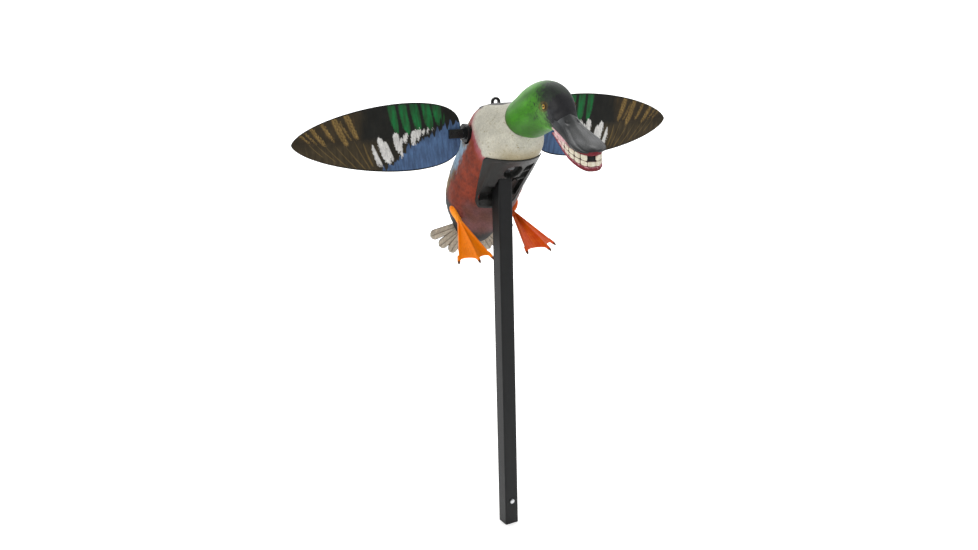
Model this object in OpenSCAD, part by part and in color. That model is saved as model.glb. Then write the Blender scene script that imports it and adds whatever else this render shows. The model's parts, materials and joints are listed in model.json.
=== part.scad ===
// Motion wing decoy: a landing drake shoveler on a square pole, with spinning wings.
// Frame: +Z up, the duck looks along -Y, the origin is the centre of the pole's bottom end.

/* [Pole] */
// Outside width of the square pole
pole_w = 25.4; // [22:0.1:28]
// Length of the pole section
pole_len = 645; // [640:1:646]
// Wall thickness of the pole
pole_wall = 1.6; // [1.2:0.1:2]
// Height of the snap button above the pole's bottom end
button_z = 43; // [35:1:60]
// Radius of the snap button
button_r = 4; // [3:0.1:4.5]

/* [Wings] */
// Distance from the middle of the body to a wing tip
wing_tip_x = 345; // [300:1:380]
// Distance from the middle of the body to a wing's root
wing_root_x = 62; // [61:1:70]
// Greatest height of a wing above and below the shaft
wing_half_h = 52; // [45:1:58]
// Thickness of a wing panel
wing_t = 2; // [1.6:0.1:3]

/* [Drive] */
// Radius of the drive shaft
shaft_r = 3; // [2.5:0.1:3.5]
// Radius of a wing hub
hub_r = 15; // [12:0.5:16]
// Radius of the motor's can
motor_r = 17; // [15:0.5:17]

/* [Body] */
// Wall thickness of the moulded body
skin = 3.2; // [2.4:0.1:4]
// Half the width of the back door
door_half_w = 34; // [26:1:36]
// Depth of the belly pan's well below its rim
well_depth = 11; // [8:0.5:12]

/* [Hidden] */
$fn = 48;

shaft_y = 10;
shaft_z = 690.6;
run_gap = 0.06;
free_gap = 0.4;

// Middle of the body's own frame, where y runs down to the tail and z out through the back
mid_y = 20;
mid_z = 645;
pitch = 45;

// Body stations from the neck to the rump:
// [y, z, fall of the axis in degrees, half width, height of the back, depth of the belly, and
// how round the back's shoulders are, from 1 for an ellipse down to 0 for a box]
body_rows = [
    [-72, 711, 27, 27, 25, 24, 1],
    [-66, 707, 29, 34, 32, 30, 0.9],
    [-54, 699, 34, 45, 45, 40, 0.65],
    [-35, 684, 40, 56, 63, 46, 0.42],
    [-5, 657, 44, 61.5, 65, 46, 0.48],
    [25, 625, 47, 63.5, 62, 44, 0.62],
    [52, 592, 51, 66, 62, 42, 0.8],
    [74, 562, 55, 62, 58, 40, 1],
    [92, 533, 58, 46, 36, 36, 1],
    [104, 510, 60, 30, 18, 28, 1],
    [111, 497, 62, 14, 8, 15, 1]
];
head_rows = [
    [-65, 710, 27, 29, 26, 25, 1],
    [-74, 714, 24, 33, 31, 30, 1],
    [-92, 720, 18, 34.5, 35, 35, 1],
    [-114, 729, 11, 35, 38.5, 37, 1],
    [-137, 736, 3, 34.5, 37.5, 37, 1],
    [-156, 737, -9, 31, 32, 35, 1],
    [-172, 731, -21, 25.5, 24, 31, 1],
    [-183, 725, -32, 20, 15, 23, 1]
];
ring_points = 40;
row_steps = 3;

function blend4(a, b, c, d, t) =
    0.5 * (2 * b + (c - a) * t + (2 * a - 5 * b + 4 * c - d) * t * t
        + (3 * b - a - 3 * c + d) * t * t * t);
function row_at(rows, s) =
    let (last = len(rows) - 1, i = min(floor(s), last - 1), t = s - i)
    blend4(rows[max(i - 1, 0)], rows[i], rows[i + 1], rows[min(i + 2, last)], t);
function ease(a, b, t) = let (f = min(1, max(0, (t - a) / (b - a)))) f * f * (3 - 2 * f);
// A ring's height at x from its middle, as a fraction, for a ring of the given roundness
function lift_at(row, x, grow, round_by) = sqrt(max(0, 1 - pow(abs(x) / (row[3] + grow), 2 / round_by)));
function on_axis(row, x, h) = [x, row[0] + h * sin(row[2]), row[1] + h * cos(row[2])];
function ring(row, grow) = [
    for (j = [0 : ring_points - 1])
    let (a = 360 * j / ring_points, c = cos(a), s = sin(a), tall = (s > 0 ? row[4] : row[5]) + grow)
    on_axis(row, (row[3] + grow) * sign(c) * pow(abs(c), s > 0 ? row[6] : 1), tall * s)
];

function flat_list(lists) = [for (l = lists) for (p = l) p];
// Faces of a solid made of n rings of m points each
function loft_faces(n, m) = concat(
    [for (i = [0 : n - 2]) for (j = [0 : m - 1])
        [i * m + j, i * m + (j + 1) % m, (i + 1) * m + (j + 1) % m, (i + 1) * m + j]],
    [[for (j = [m - 1 : -1 : 0]) j]],
    [[for (j = [0 : m - 1]) (n - 1) * m + j]]
);
module loft(rings) {
    polyhedron(points = flat_list(rings), faces = loft_faces(len(rings), len(rings[0])), convexity = 6);
}
function turned(rings) = [for (r = rings) [for (k = [len(r) - 1 : -1 : 0]) r[k]]];
function row_rings(rows, grow, from, to) =
    let (steps = round((to - from) * row_steps))
    [for (i = [0 : steps]) ring(row_at(rows, from + (to - from) * i / steps), grow)];
module body_loft(grow, from, to) {
    loft(row_rings(body_rows, grow, from, to));
}
// A curved slab over the body's back, between two offsets
module back_patch(from, to, half, low, high) {
    steps = round((to - from) * 4);
    across = 14;
    rings = [
        for (i = [0 : steps])
        let (
            row = row_at(body_rows, from + (to - from) * i / steps),
            xs = [for (k = [0 : across]) half * (2 * k / across - 1)]
        )
        concat(
            [for (x = xs) on_axis(row, x, (row[4] + high) * lift_at(row, x, high, row[6]))],
            [for (k = [across : -1 : 0])
                on_axis(row, xs[k], (row[4] + low) * lift_at(row, xs[k], low, row[6]))]
        )
    ];
    loft(turned(rings));
}
module body_frame() {
    translate([0, mid_y, mid_z]) rotate([-pitch, 0, 0]) children();
}
module on_shaft() {
    translate([0, shaft_y, shaft_z]) rotate([0, 90, 0]) children();
}
// A rod along +X on the shaft's axis, from x0 to x1; side -1 puts it on the other side
module shaft_rod(r, x0, x1, side = 1) {
    mirror([side < 0 ? 1 : 0, 0, 0]) on_shaft() translate([0, 0, x0])
        cylinder(r = r, h = x1 - x0);
}
module to_side(side) {
    mirror([side < 0 ? 1 : 0, 0, 0]) children();
}
module square_bar(w, r, h) {
    inner = w - 2 * r;
    translate([-inner / 2, -w / 2, 0]) cube([inner, w, h]);
    translate([-w / 2, -inner / 2, 0]) cube([w, inner, h]);
    for (x = [-1, 1], y = [-1, 1]) translate([x * inner / 2, y * inner / 2, 0]) cylinder(r = r, h = h);
}

// ---- Pole ----
module pole_tube() {
    inner = pole_w - 2 * pole_wall;
    color("#1a1b1d") difference() {
        square_bar(pole_w, 2.5, pole_len);
        translate([0, 0, -1]) square_bar(inner, 1.2, pole_len + 2);
        translate([0, 0, button_z]) rotate([90, 0, 0]) cylinder(r = button_r + run_gap, h = pole_w);
    }
}
button_flange_y = pole_wall - pole_w / 2 + 0.3;
// The button is slimmer where it passes through the pole's wall
button_neck = 2.1;
button_neck_r = 3;
button_out = 1.8;
module snap_button() {
    color("#b9bbbd") translate([0, 0, button_z]) rotate([90, 0, 0]) {
        translate([0, 0, -button_flange_y - 1.5]) cylinder(r = button_r + 1.4, h = 1.5);
        translate([0, 0, -button_flange_y]) cylinder(r = button_neck_r, h = button_neck);
        translate([0, 0, button_neck - button_flange_y]) cylinder(r = button_r, h = button_out);
        translate([0, 0, button_neck + button_out - button_flange_y]) intersection() {
            translate([0, 0, -5.5]) sphere(r = sqrt(button_r * button_r + 5.5 * 5.5));
            cylinder(r = button_r, h = 4);
        }
    }
}
module snap_spring() {
    leaf = 0.6;
    front = button_flange_y + 1.5;
    back = pole_w / 2 - pole_wall - 0.3;
    color("#8d9094") {
        translate([-4, front, button_z - 8]) cube([8, leaf, 38]);
        translate([-4, back - leaf, button_z - 8]) cube([8, leaf, 38]);
        translate([-4, 0, button_z + 30]) rotate([0, 90, 0]) rotate([0, 0, 90]) intersection() {
            difference() {
                cylinder(r = (back - front) / 2, h = 8);
                translate([0, 0, -1]) cylinder(r = (back - front) / 2 - leaf, h = 10);
            }
            translate([-20, 0, 0]) cube([40, 20, 8]);
        }
    }
}

// ---- Body ----
pan_from = 2.93;
pan_to = 6.05;
pan_saddle = 0.47;
pan_half_top = 53;
pan_half_low = 38;
pan_rim = 2.2;
door_from = 3;
door_to = 5.3;
door_front = -75;
door_rear = 34;
floor_v = -53 + well_depth;
// Half of the opening behind the belly pan, from the breast down to the tail
pan_opening = [[0, -57], [30, -49], [44, -40], [40.5, -10], [36, 25], [31.5, 50]];
module pan_opening_outline() {
    polygon(concat(
        pan_opening,
        [for (i = [len(pan_opening) - 1 : -1 : 1]) [-pan_opening[i][0], pan_opening[i][1]]]
    ));
}
module pole_hole(w) {
    translate([-w / 2, -w / 2, 540]) cube([w, w, pole_len + free_gap - 540]);
}
module body_outer() {
    body_loft(0, 0, len(body_rows) - 1);
}
hub_pad_x = 53;
bush_r = 6;
module body_shell() {
    color("#8a4a30") difference() {
        union() {
            difference() {
                body_outer();
                body_loft(-skin, 0.15, 9.4);
                // Way through for the belly pan's well
                body_frame() translate([0, 0, -85]) linear_extrude(70) pan_opening_outline();
                // Way through for the back door
                body_frame() translate([-door_half_w - free_gap, door_front, 20])
                    cube([2 * (door_half_w + free_gap), door_rear + 3 - door_front, 80]);
            }
            for (s = [-1, 1]) to_side(s) shaft_rod(13, 46, hub_pad_x);
        }
        for (s = [-1, 1]) to_side(s) shaft_rod(bush_r, 40, 80);
        // Seats that let the hub pads' faces show
        for (s = [-1, 1]) to_side(s) shaft_rod(hub_r + 3, hub_pad_x, 80);
        // Sockets for the legs' plugs
        for (s = [-1, 1]) to_side(s) translate([30, leg_root[1], leg_root[2]]) rotate([0, 90, 0])
            cylinder(r = leg_plug_r + run_gap, h = 40);
    }
}
// The pan is a grid over the belly: fractions across it and along it, and how deep each lies
pan_across = [-1, -0.88, -0.8, -0.72, -0.66, -0.6, -0.3, 0, 0.3, 0.6, 0.66, 0.72, 0.8, 0.88, 1];
pan_along = [0, 0.05, 0.1, 0.15, 0.2, 0.26, 0.33, 0.42, 0.52, 0.62, 0.72, 0.8, 0.86, 0.9, 0.95, 1];
function pan_sink(across, along) =
    ease(0.82, 0.66, abs(across)) * ease(0.04, 0.2, along) * ease(0.94, 0.87, along);
function to_frame(p) = let (y = p[1] - mid_y, z = p[2] - mid_z)
    [p[0], y * cos(pitch) - z * sin(pitch), y * sin(pitch) + z * cos(pitch)];
function pan_point(across, along, lift) =
    let (
        start = pan_from + pan_saddle * across * across,
        row = row_at(body_rows, start + (pan_to - start) * along),
        low_corner = 0.16 * pow(max(0, (along - 0.86) / 0.14), 2),
        top_corner = 0.05 * pow(1 - min(1, along / 0.1), 2),
        corner = 1 - low_corner - top_corner,
        half = (pan_half_top + (pan_half_low - pan_half_top) * pow(along, 1.3)) * corner,
        x = across * half,
        p = to_frame(on_axis(row, x, -(row[5] + pan_rim) * lift_at(row, x, pan_rim, 1))),
        sink = pan_sink(across, along)
    )
    [p[0], p[1], p[2] * (1 - sink) + floor_v * sink + lift];
pan_skin = 2.2;
module pan_sheet() {
    last = len(pan_across) - 1;
    loft([for (f = pan_along) concat(
        [for (i = [0 : last]) pan_point(pan_across[i], f, 0)],
        [for (i = [last : -1 : 0]) pan_point(pan_across[i], f, pan_skin)]
    )]);
}
module belly_pan() {
    color("#17181a") difference() {
        body_frame() pan_sheet();
        pole_hole(pole_w + 2 * free_gap);
        body_frame() translate([0, switch_u, -85]) cylinder(r = switch_hole_r, h = 90);
    }
}
socket_wall = 3;
socket_roof = 3.6;
socket_w = pole_w + 2 * free_gap + 2 * socket_wall;
module pole_socket() {
    color("#1d1e20") difference() {
        union() {
            translate([-socket_w / 2, -socket_w / 2, 560])
                cube([socket_w, socket_w, pole_len + free_gap + socket_roof - 560]);
            body_frame() for (x = [-1, 1])
                translate([x * (socket_w / 2 + 4) - 4.2, 0, floor_v + pan_skin]) cube([8.4, 38, 4]);
        }
        pole_hole(pole_w + 2 * free_gap);
        body_frame() translate([-60, -90, -100]) cube([120, 200, 100 + floor_v + pan_skin]);
        for (p = pan_screw_places) body_frame() translate([p[0], p[1], floor_v]) cylinder(r = 1.6, h = 9);
    }
}
pan_screw_places = [for (x = [-1, 1], u = [6, 32]) [x * (socket_w / 2 + 4), u]];
module pan_screws() {
    color("#a5a7aa") body_frame() for (p = pan_screw_places) translate([p[0], p[1], floor_v]) {
        translate([0, 0, pan_skin]) cylinder(r = 1.6, h = 4);
        translate([0, 0, pan_skin + 4]) cylinder(r = 3, h = 1.8);
    }
}
switch_u = -28;
switch_hole_r = 9;
switch_r = 6;
boot_rim_r = 11;
boot_len = 8.5;
module switch_boot() {
    color("#222326") body_frame() translate([0, switch_u, floor_v]) difference() {
        union() {
            translate([0, 0, -2]) cylinder(r = boot_rim_r, h = 2);
            cylinder(r = switch_hole_r, h = boot_len);
        }
        translate([0, 0, -3]) cylinder(r = switch_r + run_gap, h = boot_len + 1.3);
    }
}
module power_switch() {
    color("#303236") body_frame() translate([0, switch_u, floor_v]) {
        translate([0, 0, -3.5]) cylinder(r = switch_r, h = 6.5);
        translate([0, 0, -3.5]) intersection() {
            translate([0, 0, 8]) sphere(r = 10);
            translate([0, 0, -4]) cylinder(r = switch_r, h = 4.1);
        }
    }
}

// ---- Head ----
module head_outer() {
    loft(turned(row_rings(head_rows, 0, 0.4, len(head_rows) - 1)));
}
module head_shell() {
    color("#2f7d26") difference() {
        head_outer();
        loft(turned(row_rings(head_rows, -skin, 0, len(head_rows) - 1.6)));
        body_outer();
        for (s = [-1, 1]) to_side(s) translate(eye_place - [1.5, 0, 0]) sphere(r = eye_r + run_gap);
    }
}
bill_y = -180;
bill_z = 726;
bill_drop = 32.5;
module bill_frame() {
    translate([0, bill_y, bill_z]) rotate([bill_drop, 0, 0]) mirror([0, 1, 0]) children();
}
// Bill stations: [distance from the face, half width, height above and depth below the middle line]
bill_rows = [
    [-8, 19, 12, 12], [0, 21, 12.5, 13], [13, 20, 9, 11.3], [30, 19, 5.3, 8.5],
    [46, 22, 4, 6.5], [62, 26.5, 3.2, 5], [76, 27.5, 2.6, 4], [86, 22, 1.8, 3], [90, 11, 1, 2.4]
];
function bill_ring(row, n) = [
    for (j = [0 : n - 1])
    let (a = 360 * j / n, s = sin(a), tall = s > 0 ? row[2] : row[3], pinch = ease(60, 0, row[0]))
    [row[1] * cos(a) * (1 - 0.35 * pinch * max(0, s + 0.3)), row[0],
        tall * sign(s) * pow(abs(s), s > 0 ? 1 : 0.6)]
];
module bill_solid() {
    steps = (len(bill_rows) - 1) * 3;
    bill_frame() loft([for (i = [0 : steps]) bill_ring(row_at(bill_rows, i / 3), 28)]);
}
module upper_bill() {
    color("#2b2c2f") difference() {
        bill_solid();
        head_outer();
    }
}
// Mouth line, from one corner round the front to the other; turn runs from -90 to 90 degrees
mouth_back = -176;
mouth_len = 80;
mouth_half = 32;
mouth_top = 713;
mouth_fall = 40;
jaw_depth_front = 22;
function mouth_y(turn) = mouth_back - mouth_len * pow(cos(turn), 0.75);
function mouth_x(turn, inset) =
    let (s = sin(turn), narrow = 1 - 0.26 * ease(0.75, 0, cos(turn)))
    sign(s) * (mouth_half * narrow - inset) * pow(abs(s), 0.72);
function mouth_z(turn) = mouth_top + (mouth_y(turn) - mouth_back) * mouth_fall / mouth_len;
function mouth_depth(turn) = 4 + (jaw_depth_front - 4) * pow(cos(turn), 0.6);
function mouth_point(turn, inset, f) = [
    mouth_x(turn, inset), mouth_y(turn) + inset * cos(turn), mouth_z(turn) - mouth_depth(turn) * f
];
// A band that follows the mouth, between two fractions of its depth and two insets
module mouth_band(turn0, turn1, outer, inner, f0, f1) {
    steps = max(2, round((turn1 - turn0) / 6));
    loft([
        for (i = [0 : steps])
        let (t = turn0 + (turn1 - turn0) * i / steps)
        [mouth_point(t, inner, f0), mouth_point(t, inner, f1),
            mouth_point(t, outer, f1), mouth_point(t, outer, f0)]
    ]);
}
module lower_jaw() {
    color("#8f1f2b") difference() {
        union() {
            mouth_band(-84, 84, 0, 6, 0.7, 1);
            mouth_band(-84, 84, 2.6, 6.4, teeth_top, 0.72);
        }
        bill_solid();
        head_outer();
    }
}
teeth_turns = [-84, -77, -70, -62, -52, -41, -28, -12, 3, 18, 33, 45, 55, 64, 72, 78, 84];
missing_tooth = 7;
module teeth(f0, f1, skip) {
    difference() {
        for (i = [0 : len(teeth_turns) - 2]) if (i != skip)
            mouth_band(teeth_turns[i] + 0.5, teeth_turns[i + 1] - 0.5, 0.4, 2.5, f0, f1);
        bill_solid();
    }
}
module upper_gum() {
    color("#7a1a26") difference() {
        mouth_band(-84, 84, 0, 4, -0.4, teeth_top);
        bill_solid();
        head_outer();
    }
}
teeth_top = -0.05;
module upper_teeth() {
    color("#e9e4d4") teeth(teeth_top, 0.36, missing_tooth);
}
module lower_teeth() {
    color("#e9e4d4") teeth(0.39, 0.69, -1);
}
eye_place = [24.5, -168, 737.5];
eye_r = 5;
module eye(side) {
    color("#d9a21b") to_side(side) translate(eye_place - [1.5, 0, 0]) sphere(r = eye_r);
}
module eye_left() { eye(-1); }
module eye_right() { eye(1); }

// ---- Tail and legs ----
tail_root = [0, 105, 528];
tail_feathers = 5;
tail_len_outer = 84;
tail_len_inner = 46;
tail_feather_t = 6;
tail_feather_base = 12;
tail_tip_r = 9;
function tail_tip(length, a) = [tail_tip_r * cos(a), -(length - tail_tip_r) - tail_tip_r * sin(a)];
module tail_feather(length, angle) {
    rotate([0, angle, 0]) rotate([90, 0, 0]) translate([0, 0, -tail_feather_t / 2])
        linear_extrude(tail_feather_t) polygon(concat(
            [[-tail_feather_base / 2, 0], [tail_feather_base / 2, 0]],
            [for (a = [0 : 15 : 180]) tail_tip(length, a)]
        ));
}
module tail_fan() {
    color("#8d887c") difference() {
        translate(tail_root) rotate([-8, 0, 0])
            for (s = [-1, 1]) to_side(s) for (i = [0 : tail_feathers - 1])
            let (f = i / (tail_feathers - 1))
            translate([0, 1.1 * i - 2.2, 0])
            tail_feather(
                tail_len_inner + (tail_len_outer - tail_len_inner) * pow(f, 0.7),
                -(13 + 65 * f)
            );
        body_loft(0, 7, len(body_rows) - 1);
    }
}
leg_root = [60, 60, 562];
leg_plug_r = 5;
leg_plug_len = 12;
ankle = [53, 58, 546];
toe_tips = [[33, -24, 489], [67, -41, 491], [91, -15, 487]];
toe_tips_right = [[33, -24, 489], [67, -41, 493], [91, -18, 496]];
module rod_between(a, b, ra, rb) {
    hull() {
        translate(a) sphere(r = ra, $fn = 16);
        translate(b) sphere(r = rb, $fn = 16);
    }
}
module web(a, b, c, r) {
    hull() for (p = [a, b, c]) translate(p) sphere(r = r, $fn = 12);
}
module leg(side, tips) {
    color("#ff8a00") to_side(side) {
        translate([leg_root[0] + 4 - leg_plug_len, leg_root[1], leg_root[2]]) rotate([0, 90, 0])
            cylinder(r = leg_plug_r, h = leg_plug_len);
        difference() {
            rod_between(leg_root, ankle, 6.5, 4.2);
            body_outer();
        }
        for (t = tips) rod_between(ankle, t, 3.4, 2);
        for (i = [0, 1])
            web(ankle, tips[i] * 0.94 + ankle * 0.06, tips[i + 1] * 0.94 + ankle * 0.06, 1.2);
    }
}
module leg_left() { leg(-1, toe_tips); }
module leg_right() { leg(1, toe_tips_right); }
module leg_screws() {
    color("#a5a7aa") for (s = [-1, 1]) to_side(s)
        translate([leg_root[0] + 2 - leg_plug_len, leg_root[1], leg_root[2]]) rotate([0, 90, 0])
            cylinder(r = 5.5, h = 2);
}

// ---- Drive ----
can_half = 24;
module motor_can() {
    color("#9a9da1") difference() {
        shaft_rod(motor_r, -can_half, can_half);
        shaft_rod(motor_r - 1.5, -can_half + 1.5, can_half - 1.5);
        shaft_rod(4.5, -can_half - 1, can_half + 1);
    }
}
module motor_magnets() {
    color("#3a3b3e") difference() {
        shaft_rod(motor_r - 1.5, -16, 16);
        shaft_rod(motor_r - 4.5, -17, 17);
        for (z = [-1, 1]) translate([-20, shaft_y - 2, shaft_z + z * 13 - 6]) cube([40, 4, 12]);
    }
}
module motor_bushings() {
    color("#b08a4a") for (s = [-1, 1]) to_side(s) difference() {
        union() {
            shaft_rod(4.5, can_half - 1.5, can_half + 1);
            shaft_rod(7, can_half - 4, can_half - 1.5);
        }
        shaft_rod(shaft_r + run_gap, can_half - 6, can_half + 2);
    }
}
cradle_z = pole_len + free_gap + socket_roof;
module motor_cradle() {
    color("#1d1e20") difference() {
        translate([-18, shaft_y - motor_r - 5, cradle_z])
            cube([36, 2 * motor_r + 10, shaft_z - cradle_z - 3]);
        shaft_rod(motor_r, -30, 30);
        for (p = strap_screw_places) translate([p[0], p[1], shaft_z - 14])
            cylinder(r = strap_screw_r, h = 20);
    }
}
strap_w = 14;
strap_screw_r = 1.2;
strap_screw_places = [for (s = [-1, 1]) [0, shaft_y + s * (motor_r + 3.2)]];
module motor_strap() {
    color("#8d9094") difference() {
        union() {
            shaft_rod(motor_r + 1.2, -strap_w / 2, strap_w / 2);
            for (s = [-1, 1]) translate([-strap_w / 2, shaft_y + s * (motor_r + 2.5) - 2.5, shaft_z - 3])
                cube([strap_w, 5, 1.2]);
        }
        shaft_rod(motor_r, -30, 30);
        translate([-30, shaft_y - 40, shaft_z - 43]) cube([60, 80, 40]);
        for (p = strap_screw_places) translate([p[0], p[1], shaft_z - 14])
            cylinder(r = strap_screw_r, h = 20);
    }
}
module strap_screws() {
    color("#a5a7aa") for (p = strap_screw_places) translate([p[0], p[1], shaft_z - 1.8]) {
        translate([0, 0, -8]) cylinder(r = strap_screw_r, h = 8);
        cylinder(r = 1.9, h = 1.6);
    }
}
module shaft_bushing(side) {
    color("#b08a4a") to_side(side) difference() {
        union() {
            shaft_rod(bush_r, hub_pad_x - 6, hub_pad_x);
            shaft_rod(bush_r + 2, hub_pad_x, hub_pad_x + 1);
        }
        shaft_rod(shaft_r + run_gap, hub_pad_x - 9, hub_pad_x + 3);
    }
}
module shaft_bushing_left() { shaft_bushing(-1); }
module shaft_bushing_right() { shaft_bushing(1); }
hub_in = hub_pad_x + 1.4;
hub_out = wing_root_x - 0.2;
shaft_end = hub_out - 3.2;
module drive_shaft() {
    color("#c2c5c9") shaft_rod(shaft_r, -shaft_end, shaft_end);
}
module armature() {
    color("#8c5a32") difference() {
        union() {
            shaft_rod(motor_r - 5.2, -13, 13);
            shaft_rod(6, 13, can_half - 4.6);
        }
        shaft_rod(shaft_r, -30, 30);
    }
}
module hub(side) {
    color("#141517") to_side(side) difference() {
        union() {
            shaft_rod(hub_r, hub_out - 4.5, hub_out);
            shaft_rod(7, hub_in, hub_out - 4.5);
        }
        shaft_rod(shaft_r, hub_in - 1, shaft_end);
        shaft_rod(8, shaft_end, hub_out + 1);
        translate([(hub_in + hub_out) / 2 - 0.8, shaft_y, shaft_z]) cylinder(r = 1, h = 20);
    }
}
module hub_left() { hub(-1); }
module hub_right() { hub(1); }
module hub_magnet(side) {
    color("#b9bbbd") to_side(side) shaft_rod(8, shaft_end, hub_out);
}
module hub_magnet_left() { hub_magnet(-1); }
module hub_magnet_right() { hub_magnet(1); }
module hub_screws() {
    color("#8d9094") for (s = [-1, 1]) to_side(s)
        translate([(hub_in + hub_out) / 2 - 0.8, shaft_y, shaft_z + shaft_r]) cylinder(r = 1, h = 6);
}

// ---- Wings ----
wing_len = wing_tip_x - wing_root_x;
wing_inset = 6;
// Half the wing's height at a fraction of the way from root to tip
function wing_half(f) = wing_half_h * pow(f, 0.3) * pow(1 - f, 0.62) / 0.559;
function wing_along(f) = wing_inset + f * (wing_len - wing_inset);
module wing_panel(side) {
    steps = 40;
    fs = [for (i = [0 : steps]) (1 - cos(180 * i / steps)) / 2];
    color("#3d3a2c") to_side(side) difference() {
        translate([wing_root_x, shaft_y + wing_t / 2, shaft_z]) rotate([90, 0, 0]) linear_extrude(wing_t)
            polygon(concat(
                [for (f = fs) [wing_along(f), max(wing_half(f), 0.01)]],
                [for (i = [steps - 1 : -1 : 1]) [wing_along(fs[i]), -wing_half(fs[i])]]
            ));
        for (x = clamp_screw_xs) translate([x, shaft_y + 20, shaft_z]) rotate([90, 0, 0])
            cylinder(r = 1.5, h = 40);
    }
}
module wing_panel_left() { wing_panel(-1); }
module wing_panel_right() { wing_panel(1); }
clamp_len = 28;
clamp_h = 14;
clamp_t = 10;
clamp_screw_xs = [wing_root_x + 12, wing_root_x + 23];
module wing_clamp(side) {
    color("#141517") to_side(side) difference() {
        union() {
            shaft_rod(10, wing_root_x, wing_root_x + 2);
            translate([wing_root_x, shaft_y - clamp_t / 2, shaft_z - clamp_h / 2])
                cube([clamp_len, clamp_t, clamp_h]);
        }
        translate([wing_root_x + 2, shaft_y - wing_t / 2, shaft_z - 30]) cube([60, wing_t, 60]);
        shaft_rod(6, wing_root_x - 1, wing_root_x + 1.2);
        for (x = clamp_screw_xs) translate([x, shaft_y + 20, shaft_z]) rotate([90, 0, 0])
            cylinder(r = 1.5, h = 40);
    }
}
module wing_clamp_left() { wing_clamp(-1); }
module wing_clamp_right() { wing_clamp(1); }
module wing_keeper(side) {
    color("#b9bbbd") to_side(side) shaft_rod(6, wing_root_x, wing_root_x + 1.2);
}
module wing_keeper_left() { wing_keeper(-1); }
module wing_keeper_right() { wing_keeper(1); }
module clamp_screws(side) {
    color("#8d9094") to_side(side) for (x = clamp_screw_xs)
        translate([x, shaft_y + clamp_t / 2, shaft_z]) rotate([90, 0, 0]) {
            cylinder(r = 1.5, h = clamp_t);
            translate([0, 0, clamp_t]) cylinder(r = 2.6, h = 1.4);
            translate([0, 0, -1.4]) cylinder(r = 2.6, h = 1.4);
        }
}
module clamp_screws_left() { clamp_screws(-1); }
module clamp_screws_right() { clamp_screws(1); }

// ---- Back door ----
hinge_u = door_rear + 6;
hinge_v = 53.4;
hinge_r = 3.4;
pin_r = 1.5;
knuckle_half = 12;
module hinge_rod(r, x0, x1) {
    body_frame() translate([x0, hinge_u, hinge_v]) rotate([0, 90, 0]) cylinder(r = r, h = x1 - x0);
}
module back_door() {
    color("#2c2723") back_patch(door_from, door_to, door_half_w, -skin, 0);
}
module door_knuckle() {
    color("#1d1e20") difference() {
        union() {
            hinge_rod(hinge_r, -knuckle_half, knuckle_half);
            body_frame() translate([-knuckle_half, door_rear - 9, hinge_v - hinge_r])
                cube([2 * knuckle_half, 15, 2.4]);
        }
        hinge_rod(pin_r + run_gap, -knuckle_half - 1, knuckle_half + 1);
    }
}
module hinge_bracket() {
    color("#1d1e20") difference() {
        for (s = [-1, 1]) to_side(s) {
            hinge_rod(hinge_r, knuckle_half + free_gap, knuckle_half + 12);
            body_frame() translate([knuckle_half + free_gap, hinge_u, hinge_v - hinge_r - 3.4])
                cube([11.6, 9, 5.8]);
        }
        hinge_rod(pin_r, -60, 60);
    }
}
module hinge_pin() {
    color("#b9bbbd") hinge_rod(pin_r, -knuckle_half - 12, knuckle_half + 12);
}
loop_place = [0, 14, 728];
module pull_loop() {
    color("#111213") translate(loop_place) rotate([90, 0, 0]) translate([0, 0, -2]) difference() {
        union() {
            translate([0, 8, 0]) cylinder(r = 8, h = 4);
            translate([-8, -6, 0]) cube([16, 14, 4]);
        }
        translate([0, 8, -1]) cylinder(r = 4, h = 6);
        translate([-4, 0, -1]) cube([8, 8, 6]);
    }
}

// ---- Power and electronics ----
cell_r = 7.25;
cell_len = 50.5;
tray_y = 34;
tray_z = 596;
tray_w = 66;
tray_d = 19;
tray_h = 58;
cell_xs = [for (i = [-1.5 : 1 : 1.5]) i * 15.4];
module battery_tray() {
    color("#1d1e20") difference() {
        translate([-tray_w / 2, tray_y, tray_z]) cube([tray_w, tray_d, tray_h]);
        translate([-tray_w / 2 + 1.6, tray_y + 1.6, tray_z + 1.6])
            cube([tray_w - 3.2, tray_d, tray_h - 3.2]);
    }
}
module battery_cells() {
    color("#b87333") for (x = cell_xs)
        translate([x, tray_y + 1.8 + cell_r, tray_z + (tray_h - cell_len) / 2]) {
            cylinder(r = cell_r, h = cell_len - 1.5);
            cylinder(r = 2.7, h = cell_len);
        }
}
module battery_contacts() {
    gap = (tray_h - cell_len) / 2 - 1.6;
    color("#c9ccd0") for (x = cell_xs, z = [tray_z + 1.6, tray_z + tray_h - 1.6 - gap])
        translate([x, tray_y + 1.8 + cell_r, z]) cylinder(r = 3, h = gap);
}
module receiver_board() {
    color("#1f5b33") {
        translate([-20, tray_y - 6, 604]) cube([40, 1.6, 36]);
        translate([-8, tray_y - 4.4, 612]) cube([12, 2, 12]);
        translate([10, tray_y - 4.4, 624]) cube([7, 2.4, 9]);
    }
}
lead_r = 0.9;
lead_route = [
    [24.9, 18, 683], [26.2, 19, 681], [27, 24, 673], [26, 29, 664],
    [22, 31, 653], [19, 31, 645], [17, 30.6, 639], [17, 30.6, 632]
];
module lead(route) {
    sides = 8;
    loft([
        for (i = [0 : len(route) - 1])
        let (
            a = route[max(i - 1, 0)], b = route[min(i + 1, len(route) - 1)],
            run = (b - a) / norm(b - a), side = cross(run, [1, 0, 0]), side1 = side / norm(side),
            up = cross(side1, run)
        )
        [for (j = [0 : sides - 1]) let (turn = 360 * j / sides)
            route[i] + lead_r * (up * cos(turn) - side1 * sin(turn))]
    ]);
}
module motor_leads() {
    color("#b3231b") for (s = [-1, 1]) to_side(s) lead(lead_route);
}

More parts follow.
